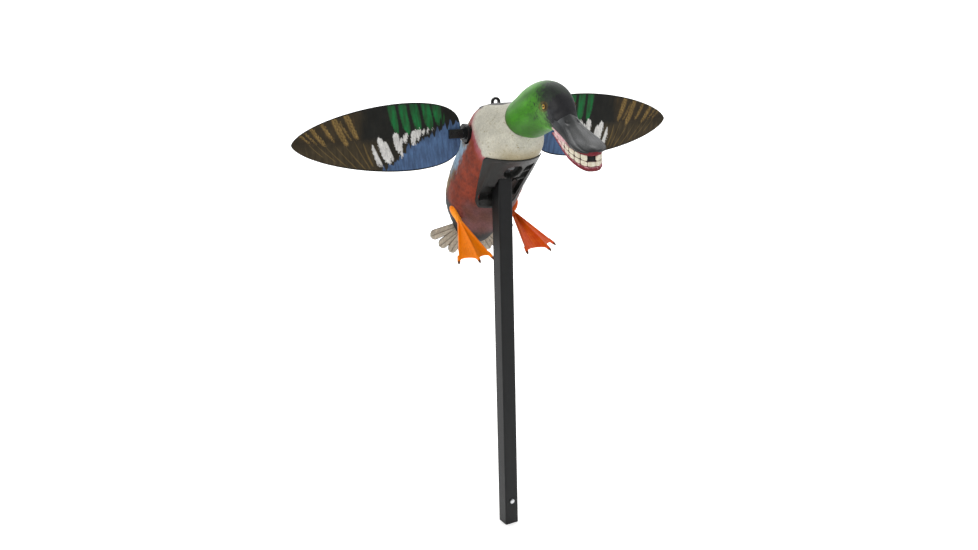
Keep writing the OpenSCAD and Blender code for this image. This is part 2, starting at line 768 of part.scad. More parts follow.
pole_tube();
snap_button();
snap_spring();
body_shell();
belly_pan();
pole_socket();
pan_screws();
switch_boot();
power_switch();
head_shell();
upper_bill();
upper_gum();
lower_jaw();
upper_teeth();
lower_teeth();
eye_left();
eye_right();
tail_fan();
leg_left();
leg_right();
leg_screws();
motor_can();
motor_magnets();
motor_bushings();
motor_cradle();
motor_strap();
strap_screws();
shaft_bushing_left();
shaft_bushing_right();
drive_shaft();
armature();
hub_left();
hub_right();
hub_magnet_left();
hub_magnet_right();
hub_screws();
wing_panel_left();
wing_panel_right();
wing_clamp_left();
wing_clamp_right();
wing_keeper_left();
wing_keeper_right();
clamp_screws_left();
clamp_screws_right();
back_door();
door_knuckle();
hinge_bracket();
hinge_pin();
pull_loop();
battery_tray();
battery_cells();
battery_contacts();
receiver_board();
motor_leads();
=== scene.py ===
"""Looks of the motion wing decoy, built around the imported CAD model.

Lengths in the shapes are millimetres, which solid() turns into metres; camera, lights and floor
are in metres. The duck faces -Y, and left in a name is left as seen from in front of it, at -X.
The rows that shape the body, head and bill are the design's own stations.
"""

import json
from math import cos, pi, radians, sin, sqrt
from types import SimpleNamespace

import bpy
import bmesh
import numpy as np
from mathutils import Matrix, Vector
from mathutils.kdtree import KDTree


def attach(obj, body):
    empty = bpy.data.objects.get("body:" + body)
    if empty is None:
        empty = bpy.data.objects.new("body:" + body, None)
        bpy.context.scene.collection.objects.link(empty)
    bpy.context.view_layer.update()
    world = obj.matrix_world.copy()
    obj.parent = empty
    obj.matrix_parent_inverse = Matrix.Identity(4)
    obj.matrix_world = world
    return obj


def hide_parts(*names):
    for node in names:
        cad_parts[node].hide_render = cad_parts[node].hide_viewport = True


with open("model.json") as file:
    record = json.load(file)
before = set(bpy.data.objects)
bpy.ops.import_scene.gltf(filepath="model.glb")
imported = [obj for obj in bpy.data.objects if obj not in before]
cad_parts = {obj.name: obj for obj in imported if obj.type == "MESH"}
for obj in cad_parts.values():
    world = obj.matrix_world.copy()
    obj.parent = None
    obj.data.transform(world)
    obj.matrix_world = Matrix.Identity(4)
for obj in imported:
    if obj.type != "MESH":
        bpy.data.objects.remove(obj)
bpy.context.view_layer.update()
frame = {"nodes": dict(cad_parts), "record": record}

MM = 0.001
SHAFT_Y, SHAFT_Z = 10.0, 690.6  # the wings' shaft
WING_ROOT, WING_TIP, WING_HALF = 68.0, 345.0, 52.0  # distances from the middle, and half height
MID_Y, MID_Z = 20.0, 645.0  # the middle of the body's own frame, which leans 45 degrees
SKIN = 3.2  # wall of the shell and the door
CAMERA_AT = (-0.7661, -1.3120, 0.8252)
CAMERA_TURN, CAMERA_DROP, CAMERA_ROLL = -29.361, 13.802, -1.413  # degrees
CAMERA_LENS = 34.43  # mm on a 36 mm sensor

# ------ camera, light and floor


def add_object(name, data):
    thing = bpy.data.objects.new(name, data)
    bpy.context.scene.collection.objects.link(thing)
    return thing


def basis(turn, drop, roll):
    """The camera's right, up and forward directions, from its turn, drop and roll in degrees."""
    a, t, r = (radians(v) for v in (turn, drop, roll))
    right = Vector((cos(a), sin(a), 0))
    forward = Vector((-sin(a) * cos(t), cos(a) * cos(t), -sin(t)))
    up = right.cross(forward)
    return (cos(r) * right + sin(r) * up, -sin(r) * right + cos(r) * up, forward)


def make_camera():
    right, up, forward = basis(CAMERA_TURN, CAMERA_DROP, CAMERA_ROLL)
    data = bpy.data.cameras.new("camera")
    data.sensor_width = 36.0
    data.lens = CAMERA_LENS
    data.clip_end = 50.0
    cam = add_object("camera", data)
    turn = Matrix((right, up, -forward)).transposed().to_4x4()
    cam.matrix_world = Matrix.Translation(CAMERA_AT) @ turn
    bpy.context.scene.camera = cam


def make_light(name, place, target, size, power, colour=(1, 1, 1)):
    """A square area light, with its side in metres and its power in watts."""
    data = bpy.data.lights.new(name, "AREA")
    data.size = size
    data.energy = power
    data.color = colour
    lamp = add_object(name, data)
    lamp.location = place
    lamp.rotation_euler = (Vector(target) - Vector(place)).to_track_quat("-Z", "Y").to_euler()


def make_studio():
    world = bpy.data.worlds.new("studio")
    bpy.context.scene.world = world
    world.use_nodes = True
    back = world.node_tree.nodes["Background"]
    back.inputs["Color"].default_value = (1.0, 1.0, 1.0, 1)
    back.inputs["Strength"].default_value = 0.40
    focus = (0, 0, 0.65)
    make_light("key", (-1.9, -1.5, 2.4), focus, 1.0, 33, (1, 0.99, 0.97))
    make_light("fill", (1.8, -2.0, 1.2), focus, 1.6, 7, (0.97, 0.98, 1))
    make_light("rim", (0.6, 2.0, 1.9), focus, 1.2, 9)
    make_light("backdrop", (2.2, 1.6, 4.2), (2.8, 4.6, 1.0), 3.5, 190)
    bpy.context.scene.view_settings.view_transform = "Standard"

    # The floor runs back, turns up through a quarter circle and stands as the backdrop
    bend = 1.5
    profile = [(-4.0, 0.0), (3.0, 0.0)]
    profile += [(3.0 + bend * sin(a), bend - bend * cos(a)) for a in np.linspace(0.1, pi / 2, 12)]
    profile += [(4.5, 6.0)]
    mesh = bpy.data.meshes.new("floor")
    verts = [(x, y, z) for y, z in profile for x in (-8, 8)]
    faces = [(2 * i, 2 * i + 1, 2 * i + 3, 2 * i + 2) for i in range(len(profile) - 1)]
    mesh.from_pydata(verts, [], faces)
    floor = add_object("floor", mesh)
    for p in mesh.polygons:
        p.use_smooth = True
    mesh.materials.append(floor_paper())


# ------ materials


def srgb(text):
    """A colour written as six hexadecimal digits, as linear light."""
    c = np.array([int(text[i:i + 2], 16) for i in (0, 2, 4)]) / 255.0
    return np.where(c <= 0.04045, c / 12.92, ((c + 0.055) / 1.055) ** 2.4)


def new_material(name):
    m = bpy.data.materials.new(name)
    m.use_nodes = True
    return m, m.node_tree, m.node_tree.nodes["Principled BSDF"]


def floor_paper():
    m, _, bsdf = new_material("floor_paper")
    bsdf.inputs["Base Color"].default_value = (0.9, 0.9, 0.9, 1)
    bsdf.inputs["Roughness"].default_value = 0.9
    bsdf.inputs["Specular IOR Level"].default_value = 0.1
    bsdf.inputs["Emission Color"].default_value = (1, 1, 1, 1)
    bsdf.inputs["Emission Strength"].default_value = 0.42
    return m


def noise(tree, scale, detail, stretch=(1, 1, 1), rough=0.55):
    """The grey of a noise texture in the object's own space, with scale in features per metre."""
    place = tree.nodes.new("ShaderNodeTexCoord")
    move = tree.nodes.new("ShaderNodeMapping")
    move.inputs["Scale"].default_value = stretch
    tex = tree.nodes.new("ShaderNodeTexNoise")
    tex.inputs["Scale"].default_value = scale
    tex.inputs["Detail"].default_value = detail
    tex.inputs["Roughness"].default_value = rough
    tree.links.new(place.outputs["Object"], move.inputs["Vector"])
    tree.links.new(move.outputs["Vector"], tex.inputs["Vector"])
    return tex.outputs["Fac"]


def span(tree, source, out_low, out_high, low=0.3, high=0.7):
    """Stretches a grey from low..high to out_low..out_high."""
    r = tree.nodes.new("ShaderNodeMapRange")
    for key, value in zip(("From Min", "From Max", "To Min", "To Max"), (low, high, out_low, out_high)):
        r.inputs[key].default_value = value
    tree.links.new(source, r.inputs["Value"])
    return r.outputs["Result"]


def scaled_colour(tree, colour, factor):
    """Multiplies a colour by a grey factor that varies over the surface."""
    mix = tree.nodes.new("ShaderNodeMix")
    mix.data_type = "RGBA"
    mix.blend_type = "MULTIPLY"
    mix.inputs["Factor"].default_value = 1.0
    if isinstance(colour, tuple):
        mix.inputs["A"].default_value = colour
    else:
        tree.links.new(colour, mix.inputs["A"])
    tree.links.new(factor, mix.inputs["B"])
    return mix.outputs["Result"]


def finish_surface(tree, bsdf, colour, grain, rough, shine, coat, bump, relief):
    """Sets the colour, gloss and fine relief, which share one grain."""
    tree.links.new(colour, bsdf.inputs["Base Color"])
    tree.links.new(span(tree, grain, rough - 0.08, rough + 0.1), bsdf.inputs["Roughness"])
    bsdf.inputs["Specular IOR Level"].default_value = shine
    bsdf.inputs["Coat Weight"].default_value = coat
    node = tree.nodes.new("ShaderNodeBump")
    node.inputs["Strength"].default_value = bump
    node.inputs["Distance"].default_value = relief
    tree.links.new(grain, node.inputs["Height"])
    tree.links.new(node.outputs["Normal"], bsdf.inputs["Normal"])


def painted(name, rough, mottle, speckle, bump, coat=0.0, grain=(1, 1, 1), fine=420, shine=0.25):
    """Hand-sprayed paint: the colour comes from the mesh, broken up by mottling, speckle and grain."""
    m, tree, bsdf = new_material(name)
    attr = tree.nodes.new("ShaderNodeAttribute")
    attr.attribute_name = "paint"
    broad = noise(tree, 55, 5)
    close = noise(tree, fine, 6, grain, 0.65)
    colour = scaled_colour(tree, attr.outputs["Color"], span(tree, broad, 1 - mottle, 1 + mottle))
    colour = scaled_colour(tree, colour, span(tree, close, 1 - mottle * 1.4, 1 + mottle))
    if speckle:
        colour = scaled_colour(tree, colour, span(tree, noise(tree, 900, 2), 1.0, 1 - speckle, 0.62, 0.72))
    bsdf.inputs["Coat Roughness"].default_value = 0.3
    finish_surface(tree, bsdf, colour, close, rough, shine, coat, bump, 0.0006)
    return m


def moulded(name, colour, rough, fine, bump, metal=0.0, wear=0.12, stretch=(1, 1, 1), coat=0.0, shine=0.5):
    """Plastic, rubber or metal with a grain, uneven gloss and a little colour variation."""
    m, tree, bsdf = new_material(name)
    close = noise(tree, fine, 5, stretch, 0.6)
    broad = noise(tree, 38, 4)
    tint = scaled_colour(tree, (*colour, 1.0), span(tree, broad, 1 - wear, 1 + wear))
    tint = scaled_colour(tree, tint, span(tree, close, 1 - wear, 1 + wear))
    bsdf.inputs["Metallic"].default_value = metal
    finish_surface(tree, bsdf, tint, close, rough, shine, coat, bump, 0.0003)
    return m


# ------ mesh helpers


def solid(name, verts, faces, slot, body=None, replaces=(), paint=None, smooth=40):
    """A piece from points in millimetres; it rides on a body and stands for the named nodes."""
    mesh = bpy.data.meshes.new(name)
    mesh.from_pydata((np.asarray(verts, float) * MM).tolist(), [], [tuple(int(i) for i in f) for f in faces])
    work = bmesh.new()
    work.from_mesh(mesh)
    bmesh.ops.remove_doubles(work, verts=work.verts, dist=1e-6)
    bmesh.ops.recalc_face_normals(work, faces=work.faces)
    work.to_mesh(mesh)
    work.free()
    piece = add_object(name, mesh)
    finish_piece(piece, slot, paint, smooth)
    if body:
        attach(piece, body)
        if replaces:
            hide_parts(*replaces)
    return piece


def finish_piece(piece, slot, paint, smooth):
    """Material, shading split at edges sharper than smooth degrees, and paint(points) as vertex colours."""
    mesh = piece.data
    if not mesh.materials:
        mesh.materials.append(MATERIALS[slot])
    mesh.polygons.foreach_set("use_smooth", [True] * len(mesh.polygons))
    mesh.set_sharp_from_angle(angle=radians(smooth))
    if paint is not None:
        spots = points_of(mesh)
        colours = np.ones((len(spots), 4))
        colours[:, :3] = unit(paint(spots))
        layer = mesh.color_attributes.new("paint", "FLOAT_COLOR", "POINT")
        layer.data.foreach_set("color", colours.astype(np.float32).ravel())


def points_of(mesh):
    co = np.zeros(len(mesh.vertices) * 3)
    mesh.vertices.foreach_get("co", co)
    return co.reshape(-1, 3) / MM


def ring_mesh(rings, cap_start=True, cap_end=True):
    """Points and faces of a tube through closed rings of equal length."""
    n, m = len(rings), len(rings[0])
    verts = np.concatenate(rings)
    faces = [(i * m + j, i * m + (j + 1) % m, (i + 1) * m + (j + 1) % m, (i + 1) * m + j)
             for i in range(n - 1) for j in range(m)]
    for wanted, first, ring in ((cap_start, 0, rings[0]), (cap_end, (n - 1) * m, rings[-1])):
        if wanted:
            centre = len(verts)
            verts = np.vstack([verts, ring.mean(0)])
            faces += [(first + (j + 1) % m, first + j, centre) for j in range(m)]
    return verts, faces


def sheet_mesh(top, bottom):
    """Points and faces of a closed slab between two grids of points, each rows x columns x 3."""
    n, m, _ = top.shape
    verts = np.concatenate([top.reshape(-1, 3), bottom.reshape(-1, 3)])
    low = n * m
    faces = []
    for i in range(n - 1):
        for j in range(m - 1):
            a = i * m + j
            faces.append((a, a + 1, a + m + 1, a + m))
            faces.append((low + a, low + a + m, low + a + m + 1, low + a + 1))
    edge = [(0, j) for j in range(m)] + [(i, m - 1) for i in range(1, n)]
    edge += [(n - 1, j) for j in range(m - 2, -1, -1)] + [(i, 0) for i in range(n - 2, 0, -1)]
    for k, (i, j) in enumerate(edge):
        i2, j2 = edge[(k + 1) % len(edge)]
        a, b = i * m + j, i2 * m + j2
        faces.append((a, low + a, low + b, b))
    return verts, faces


def merge(parts):
    """One list of points and faces from several."""
    verts, faces, offset = [], [], 0
    for v, f in parts:
        verts.append(np.asarray(v, float))
        faces += [tuple(i + offset for i in face) for face in f]
        offset += len(v)
    return np.concatenate(verts), faces


def cut(piece, cutters, add=()):
    """Takes the cutters away from a piece, for good, after the pieces in add have joined it."""
    for tool, mode in [(t, "UNION") for t in add] + [(t, "DIFFERENCE") for t in cutters]:
        change = piece.modifiers.new("cut", "BOOLEAN")
        change.operation = mode
        change.solver = "EXACT"
        change.object = tool
        bpy.context.view_layer.update()
        result = bpy.data.meshes.new_from_object(piece.evaluated_get(bpy.context.evaluated_depsgraph_get()))
        piece.modifiers.clear()
        piece.data = result
    for tool in list(cutters) + list(add):
        bpy.data.objects.remove(tool)


def tool_piece(verts, faces):
    """A cutter, gone once cut() has used it."""
    return solid("tool", verts, faces, "pan_black")


def disc_rod(r, x0, x1, y=SHAFT_Y, z=SHAFT_Z, sides=48):
    """A round rod along X, about the wings' shaft unless told otherwise."""
    a = np.linspace(0, 2 * pi, sides, endpoint=False)
    rings = [np.stack([np.full(sides, x), y + r * np.cos(a), z + r * np.sin(a)], 1) for x in (x0, x1)]
    return ring_mesh(rings)


def block(low, high):
    """A box between two corners."""
    (x0, y0, z0), (x1, y1, z1) = low, high
    verts = [(x, y, z) for z in (z0, z1) for x, y in ((x0, y0), (x1, y0), (x1, y1), (x0, y1))]
    faces = [(3, 2, 1, 0), (4, 5, 6, 7), (0, 1, 5, 4), (1, 2, 6, 5), (2, 3, 7, 6), (3, 0, 4, 7)]
    return np.array(verts, float), faces


def from_frame(points):
    """Points in the body's own frame (x, along to the tail, out of the back) as row points."""
    p = np.asarray(points, float)
    k = sqrt(0.5)
    return np.stack([p[:, 0], MID_Y + (p[:, 1] + p[:, 2]) * k, MID_Z + (p[:, 2] - p[:, 1]) * k], 1)


def unit(v):
    return np.clip(v, 0, 1)


def circle(count):
    """Angles in equal steps once round."""
    return np.arange(count) * 2 * pi / count


def ease(a, b, t):
    """Rises smoothly from 0 where t is a to 1 where t is b."""
    f = unit((np.asarray(t, float) - a) / (b - a))
    return f * f * (3 - 2 * f)


def bell(t, width):
    """1 where t is 0, falling away on both sides."""
    return np.exp(-(t / width) ** 2)


def mix(colour, *coats):
    """Paints coats over a colour in turn; each is a colour and how much of it lies on each point."""
    for coat, t in zip(coats[::2], coats[1::2]):
        t = np.asarray(t)[..., None]
        colour = colour * (1 - t) + coat * t
    return colour


def wobble(p, size, seed):
    """Smooth, repeatable waviness between about -1 and 1, with features of the given size in mm."""
    rng = np.random.default_rng(seed)
    total = np.zeros(len(p))
    for _ in range(7):
        way = rng.normal(size=3)
        way /= np.linalg.norm(way)
        total += np.sin(p @ way * (2 * pi / size) * rng.uniform(0.6, 1.7) + rng.uniform(0, 6.28))
    return total / 3.2


# ------ body stations

BODY_ROWS = np.array([
    [-72, 711, 27, 27, 25, 24, 1],
    [-66, 707, 29, 34, 32, 30, 0.9],
    [-54, 699, 34, 45, 45, 40, 0.65],
    [-35, 684, 40, 56, 63, 46, 0.42],
    [-5, 657, 44, 61.5, 65, 46, 0.48],
    [25, 625, 47, 63.5, 62, 44, 0.62],
    [52, 592, 51, 66, 62, 42, 0.8],
    [74, 562, 55, 62, 58, 40, 1],
    [92, 533, 58, 46, 36, 36, 1],
    [104, 510, 60, 30, 18, 28, 1],
    [111, 497, 62, 14, 8, 15, 1],
], float)
HEAD_ROWS = np.array([
    [-65, 710, 27, 29, 26, 25, 1],
    [-74, 714, 24, 33, 31, 30, 1],
    [-92, 720, 18, 34.5, 35, 35, 1],
    [-114, 729, 11, 35, 38.5, 37, 1],
    [-137, 736, 3, 34.5, 37.5, 37, 1],
    [-156, 737, -9, 31, 32, 35, 1],
    [-172, 731, -21, 25.5, 24, 31, 1],
    [-183, 725, -32, 20, 15, 23, 1],
], float)


def row_at(rows, s):
    """The row at station s, on a smooth curve through all of them."""
    last = len(rows) - 1
    i = min(int(s), last - 1)
    t = s - i
    a, b, c, d = (rows[k] for k in (max(i - 1, 0), i, i + 1, min(i + 2, last)))
    bend, twist = 2 * a - 5 * b + 4 * c - d, 3 * b - a - 3 * c + d
    return 0.5 * (2 * b + (c - a) * t + bend * t * t + twist * t ** 3)


def row_ring(rows, s, grow, count, relief=None):
    """A closed ring of points at station s; relief is an extra lift for each point."""
    row = row_at(rows, s)
    a = np.linspace(0, 2 * pi, count, endpoint=False)
    c, s = np.cos(a), np.sin(a)
    extra = grow + (0 if relief is None else relief)
    tall = np.where(s > 0, row[4], row[5]) + extra
    x = (row[3] + extra) * np.sign(c) * np.abs(c) ** np.where(s > 0, row[6], 1.0)
    h = tall * s
    fall = radians(row[2])
    return np.stack([x, row[0] + h * sin(fall), row[1] + h * cos(fall)], 1)


class Surface:
    """Finds where a point lies on a row body: its station, and its angle from the belly line."""

    def __init__(self, rows, first, last):
        steps = (last - first) * 24 + 1
        self.tree = KDTree(steps * 180)
        self.where = []
        for s in np.linspace(first, last, steps):
            for k, p in enumerate(row_ring(rows, s, 0, 180)):
                angle = abs((k * 2 - 270 + 180) % 360 - 180)
                self.tree.insert(p, len(self.where))
                self.where.append((s, angle))
        self.tree.balance()
        self.where = np.array(self.where)

    def find(self, points):
        hits = [self.tree.find(p) for p in points]
        self.gap = np.array([h[2] for h in hits])
        return self.where[[h[1] for h in hits]].T


def feather_rows(s, angle, row_len, wide, depth):
    """Relief of overlapping feathers: each row of round-ended scales covers the next one's root."""
    row = s / row_len
    band = np.floor(row)
    across = angle / wide + 0.5 * (band % 2)
    side = np.abs((across % 1.0) - 0.5) * 2
    reach = (row - band) + 0.28 * side ** 2
    return depth * (np.where(reach > 1, reach - 1, reach) ** 1.6)


MATERIALS = {}


def make_materials():
    """One material for each slot of the record, and one for the clamp screws."""
    def add(make, name, *values, **named):
        MATERIALS[name] = make(name, *values, **named)

    add(painted, "body_paint", 0.62, 0.14, 0.10, 0.5)
    add(painted, "head_green", 0.5, 0.2, 0.0, 0.55, grain=(1, 0.28, 0.6), fine=520)
    add(painted, "bill_charcoal", 0.34, 0.12, 0.0, 0.3, shine=0.5)
    add(painted, "jaw_red", 0.42, 0.16, 0.0, 0.3, coat=0.12)
    add(painted, "tooth_cream", 0.3, 0.08, 0.0, 0.15, coat=0.3)
    add(painted, "eye_gold", 0.12, 0.06, 0.0, 0.02, coat=1.0)
    add(painted, "tail_grey", 0.66, 0.16, 0.0, 0.5)
    add(painted, "leg_orange", 0.48, 0.07, 0.0, 0.3)
    add(painted, "wing_paint", 0.55, 0.18, 0.0, 0.3, grain=(1.6, 1, 0.35), fine=360, shine=0.15)
    add(painted, "door_brown", 0.62, 0.18, 0.0, 0.5)
    add(moulded, "pan_black", (0.012, 0.0125, 0.0115), 0.4, 700, 0.25, shine=0.3)
    add(moulded, "pole_black", (0.006, 0.0065, 0.007), 0.42, 1400, 0.3, shine=0.25)
    add(moulded, "hub_black", (0.006, 0.0065, 0.007), 0.38, 800, 0.2, shine=0.35)
    add(moulded, "rubber_black", (0.007, 0.007, 0.0075), 0.5, 1100, 0.3, shine=0.3)
    add(moulded, "screw_black", (0.01, 0.01, 0.011), 0.35, 900, 0.2, 0.4)
    add(moulded, "switch_plastic", (0.03, 0.032, 0.035), 0.3, 900, 0.1, coat=0.4)
    add(moulded, "bright_steel", (0.62, 0.63, 0.64), 0.28, 600, 0.1, 1.0, 0.05, (1, 6, 1))
    add(moulded, "spring_steel", (0.4, 0.41, 0.43), 0.34, 700, 0.15, 1.0, 0.08)
    add(moulded, "screw_steel", (0.55, 0.56, 0.58), 0.3, 900, 0.15, 1.0, 0.08)
    add(moulded, "motor_steel", (0.48, 0.49, 0.5), 0.33, 500, 0.1, 1.0, 0.06, (8, 1, 1))
    add(moulded, "magnet_grey", (0.05, 0.05, 0.055), 0.6, 1200, 0.4, 0.3)
    add(moulded, "bronze", (0.5, 0.32, 0.13), 0.4, 900, 0.2, 1.0)
    add(moulded, "copper_winding", (0.5, 0.2, 0.08), 0.35, 900, 0.6, 0.9, 0.1, (1, 9, 9))
    add(moulded, "cell_copper", (0.45, 0.2, 0.07), 0.3, 600, 0.1, 0.5, coat=0.3)
    add(moulded, "contact_nickel", (0.7, 0.7, 0.68), 0.25, 900, 0.1, 1.0)
    add(moulded, "board_green", (0.02, 0.14, 0.05), 0.35, 900, 0.25, coat=0.3)
    add(moulded, "lead_red", (0.4, 0.02, 0.015), 0.45, 900, 0.1)


def dress_cad_nodes():
    """Each carried-over node takes the material of its record slot."""
    slots = {s["node"]: s["material_slot"] for s in frame["record"]["subparts"]}
    for name, node in frame["nodes"].items():
        material = MATERIALS["screw_black" if name.startswith("clamp_screws") else slots[name]]
        if not node.material_slots:
            node.data.materials.append(material)
        for place in node.material_slots:
            place.material = material


# ------ body

C = SimpleNamespace(**{key: srgb(text) for key, text in dict(
    plastic="2c2d2e", cream="c4c1b3", cream_low="857549", pink="ab5f66", rust="85351f",
    rust_dark="612312", olive="7a6a42", blue="86a3bb", maroon="62392f", mauve="6b4140", black="1f1d1b",
    slate="34383a", brown="3a2f24", green="458f1f", green_deep="255410", green_light="73a257",
    face="232326", face_mid="505355", nape="41431b", charcoal="2b2d2e", charcoal_light="6b6d70",
    charcoal_dark="161719", lip="701822", lip_dark="430c14", gum="d99aa4", gum_light="e9cfd0",
    tooth="e6dfcb", tooth_shade="b8a78b", iris="d2a018", pupil="0c0a08", orange="ff8800",
    orange_light="ffa02a", orange_deep="cf4300", claw="5a3218", tail="cdc6b4", tail_dark="4a4438",
    tan="967b46", tan_dark="654f2e", wing_brown="322c20", olive_brown="4a3f2c", wing_black="1b1c1a",
    wing_green="1a6d39", wing_green_dark="2b3a26", wing_white="d8d6d2", wing_blue="4f6a90",
    wing_blue_dark="3c4d6b", rim="191917",
).items()})


def inside(surface):
    """1 where the last points looked up lie inside the wall, away from the painted face."""
    return ease(2.2, 2.6, surface.gap)


def body_colours(p, surface):
    s, angle = surface.find(p)
    wave, fine = wobble(p, 26, 3), wobble(p, 7, 5)
    # How far behind the wavy line where the cream breast meets the rust flank
    border = np.interp(angle, [0, 68, 95, 118, 148, 180], [3.5, 3.45, 3.28, 3.38, 3.0, 2.8])
    past = s - (border + 0.05 * fine + 0.03 * wave)
    flank = ease(0.25, 0.5, past)
    specks = unit(wobble(p * (1, 1, 0.5), 3.1, 8) * wobble(p, 9, 9) - 0.25)
    drift = s + 0.18 * wave + 0.1 * fine
    patch = ease(3.85, 4.4, drift) * ease(5.75, 5.1, drift)
    colour = mix(
        C.cream,
        # painted shade: the lower breast darkens towards the belly, where it turns under
        C.cream_low, 0.75 * ease(1.5, 2.95, s) * ease(75, 15, angle),
        C.cream_low, 0.7 * specks,
        C.pink, 0.5 * ease(-0.34, 0.0, past) * ease(70, 120, angle),
        mix(C.pink, C.rust, ease(0.02, 0.35, past)), ease(-0.06, 0.05, past),
        mix(C.rust, C.rust_dark, unit(0.35 + 0.5 * wave) * 0.7), flank,
        C.olive, flank * ease(98, 112, angle + 5 * fine) * 0.85,
        C.blue, patch * ease(99, 108, angle + 4 * fine) * ease(162, 148, angle + 5 * wave),
        C.brown, ease(0.3, 0.8, past) * ease(138, 156, angle),
        C.black, np.maximum(ease(157, 164, angle) * ease(1.5, 1.75, s),
                            ease(146, 154, angle) * ease(2.6, 2.8, s)),
        mix(C.maroon, C.mauve, unit(0.5 + 0.5 * wave)), ease(5.5, 6.2, s) * ease(66, 46, angle + 4 * wave),
        C.slate, ease(6.3, 6.8, s) * ease(56, 72, angle + 4 * fine),
        C.black, ease(7.5, 8.4, s + 0.1 * fine))
    # Painted shade in the creases between the carved feather rows, laid over the painted feather strokes
    gap = ease(0.16, 0.02, feather_rows(s, angle, 0.42, 11.0, 1.0))
    strokes = 1 + 0.16 * np.sin(s * 46 + 3.5 * fine) * ease(0.2, 0.6, past)
    strokes = strokes * (1 - 0.3 * gap * ease(0.2, 0.7, past) * ease(30, 60, angle))
    return mix(colour * strokes[:, None], C.plastic, inside(surface))


def body_relief(s, angles):
    """Carved feathers on the flanks and back; the breast stays nearly smooth."""
    carve = feather_rows(s, angles, 0.42, 11.0, 1.0)
    where = ease(3.2, 4.0, s) * ease(30, 60, angles) * ease(9.4, 8.6, s)
    return -0.75 * (1 - carve) * where


def make_body():
    surface = Surface(BODY_ROWS, 0, 10)
    count = 176
    angles = np.abs((np.arange(count) * 360 / count - 270 + 180) % 360 - 180)
    rings = [row_ring(BODY_ROWS, s, 0, count, body_relief(s, angles)) for s in np.linspace(0, 10, 150)]
    skin = solid("body_skin", *ring_mesh(rings), "body_paint")
    rings = [row_ring(BODY_ROWS, s, -SKIN, 72) for s in np.linspace(0.15, 9.4, 56)]
    inner = tool_piece(*ring_mesh(rings))
    # The opening behind the belly pan, the doorway in the back, and a thick pad round each shaft hole
    half = [(0, -60.5), (32, -52.5), (46.5, -42), (43, -10), (38.5, 25), (34, 52)]
    outline = half + [(-x, u) for x, u in half[:0:-1]]
    well = tool_piece(*ring_mesh([from_frame([(x, u, v) for x, u in outline]) for v in (-85, -15)]))
    corners, box_faces = block((-34.4, -75, 20), (34.4, 37, 100))
    doorway = tool_piece(from_frame(corners), box_faces)
    pads = [tool_piece(*disc_rod(13, s * 46, s * 53)) for s in (-1, 1)]
    holes = []
    for s in (-1, 1):
        holes.append(tool_piece(*disc_rod(18, s * 53, s * 80)))
        holes.append(tool_piece(*disc_rod(6, s * 40, s * 60)))
        holes.append(tool_piece(*disc_rod(5.06, s * 44, s * 70, 60, 562)))
    cut(skin, [inner, well, doorway])
    cut(skin, holes, pads)
    skin.data.materials.clear()
    finish_piece(skin, "body_paint", lambda p: body_colours(p, surface), 32)
    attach(skin, "decoy")
    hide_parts("body_shell")
    return surface


def make_door(surface):
    """The back cover: carved wing coverts over the door's own slab."""
    across = 76
    xs = np.linspace(-34, 34, across)
    grids = [], []
    for s in np.linspace(3, 5.3, 84):
        row = row_at(BODY_ROWS, s)
        fall = radians(row[2])
        for lift, grid in zip((0.0, -SKIN), grids):
            share = unit(1 - (np.abs(xs) / (row[3] + lift)) ** (2 / row[6]))
            h = (row[4] + lift) * np.sqrt(share)
            if lift == 0.0:
                h = h + 1.8 * float(ease(3.3, 3.1, s))
                h = h - 0.7 * (1 - feather_rows(np.full(across, s), xs + 40, 0.3, 13.0, 1.0))
            grid.append(np.stack([xs, row[0] + h * sin(fall), row[1] + h * cos(fall)], 1))
    verts, faces = sheet_mesh(*(np.array(grid) for grid in grids))

    def paint(p):
        s, _ = surface.find(p)
        edge = feather_rows(s, p[:, 0] + 40, 0.3, 13.0, 1.0)
        return mix(
            C.brown,
            C.black, ease(3.6, 3.1, s),
            C.olive, 0.55 * ease(0.75, 1.0, edge),
            C.plastic, inside(surface))
    solid("door_cover", verts, faces, "door_brown", "door", ("back_door",), paint)


# ------ head and bill

EYE = np.array([23.0, -168.0, 737.5])


def head_colours(p, surface):
    s, angle = surface.find(p)
    x, y, z = p.T
    wave, fine = wobble(p, 24, 12), wobble(p, 6, 11)
    side = np.abs(x)
    beside = ease(8, 16, side)
    crown = ease(150, 172, -y + 0.55 * (z - 745) + 3 * fine)
    face = ease(166, 177, -y - 0.10 * (z - 735) + 2.5 * fine)
    # Thin dark strokes that run back from the eye
    dy, dz = y - EYE[1], z - EYE[2]
    reach, fan = np.hypot(dy, dz), np.arctan2(dz, dy)
    end = 24 + 9 * np.sin(fan * 7 + 1.0) + 6 * fine
    stroke = ease(0.1, 0.5, np.sin(fan * 17 + 0.16 * reach + 3.4 * fine)) * ease(5, 9, reach)
    stroke = stroke * ease(2, -6, reach - end) * ease(-1, 8, dy) * beside * ease(-0.35, 0.1, wobble(p, 8, 16))
    return mix(
        mix(C.green, C.green_deep, unit(0.35 + 0.4 * wave) * 0.6),
        # painted highlight: lighter green round the eye, where the side of the head bulges
        C.green_light, 0.75 * bell(dy + 4, 16) * bell(dz + 4, 16),
        C.face, np.maximum(crown * 0.95, face),
        C.face_mid, 0.4 * ease(170, 176, -y) * ease(16, 26, side) * ease(745, 730, z),
        C.face, 0.5 * unit(wobble(p * (1, 1.6, 0.8), 11, 14) - 0.15) * ease(-120, -150, y),
        # painted shade: darker olive along the back of the neck
        C.nape, 0.85 * ease(1.75, 0.5, s + 0.06 * fine) ** 1.5,
        # painted shade: deeper green on the lower side of the head
        C.green_deep, 0.75 * ease(92, 30, angle) * ease(5.5, 3.5, s),
        C.face, 0.8 * stroke,
        C.tan_dark, 0.6 * bell(reach - 6, 1.6) * beside)


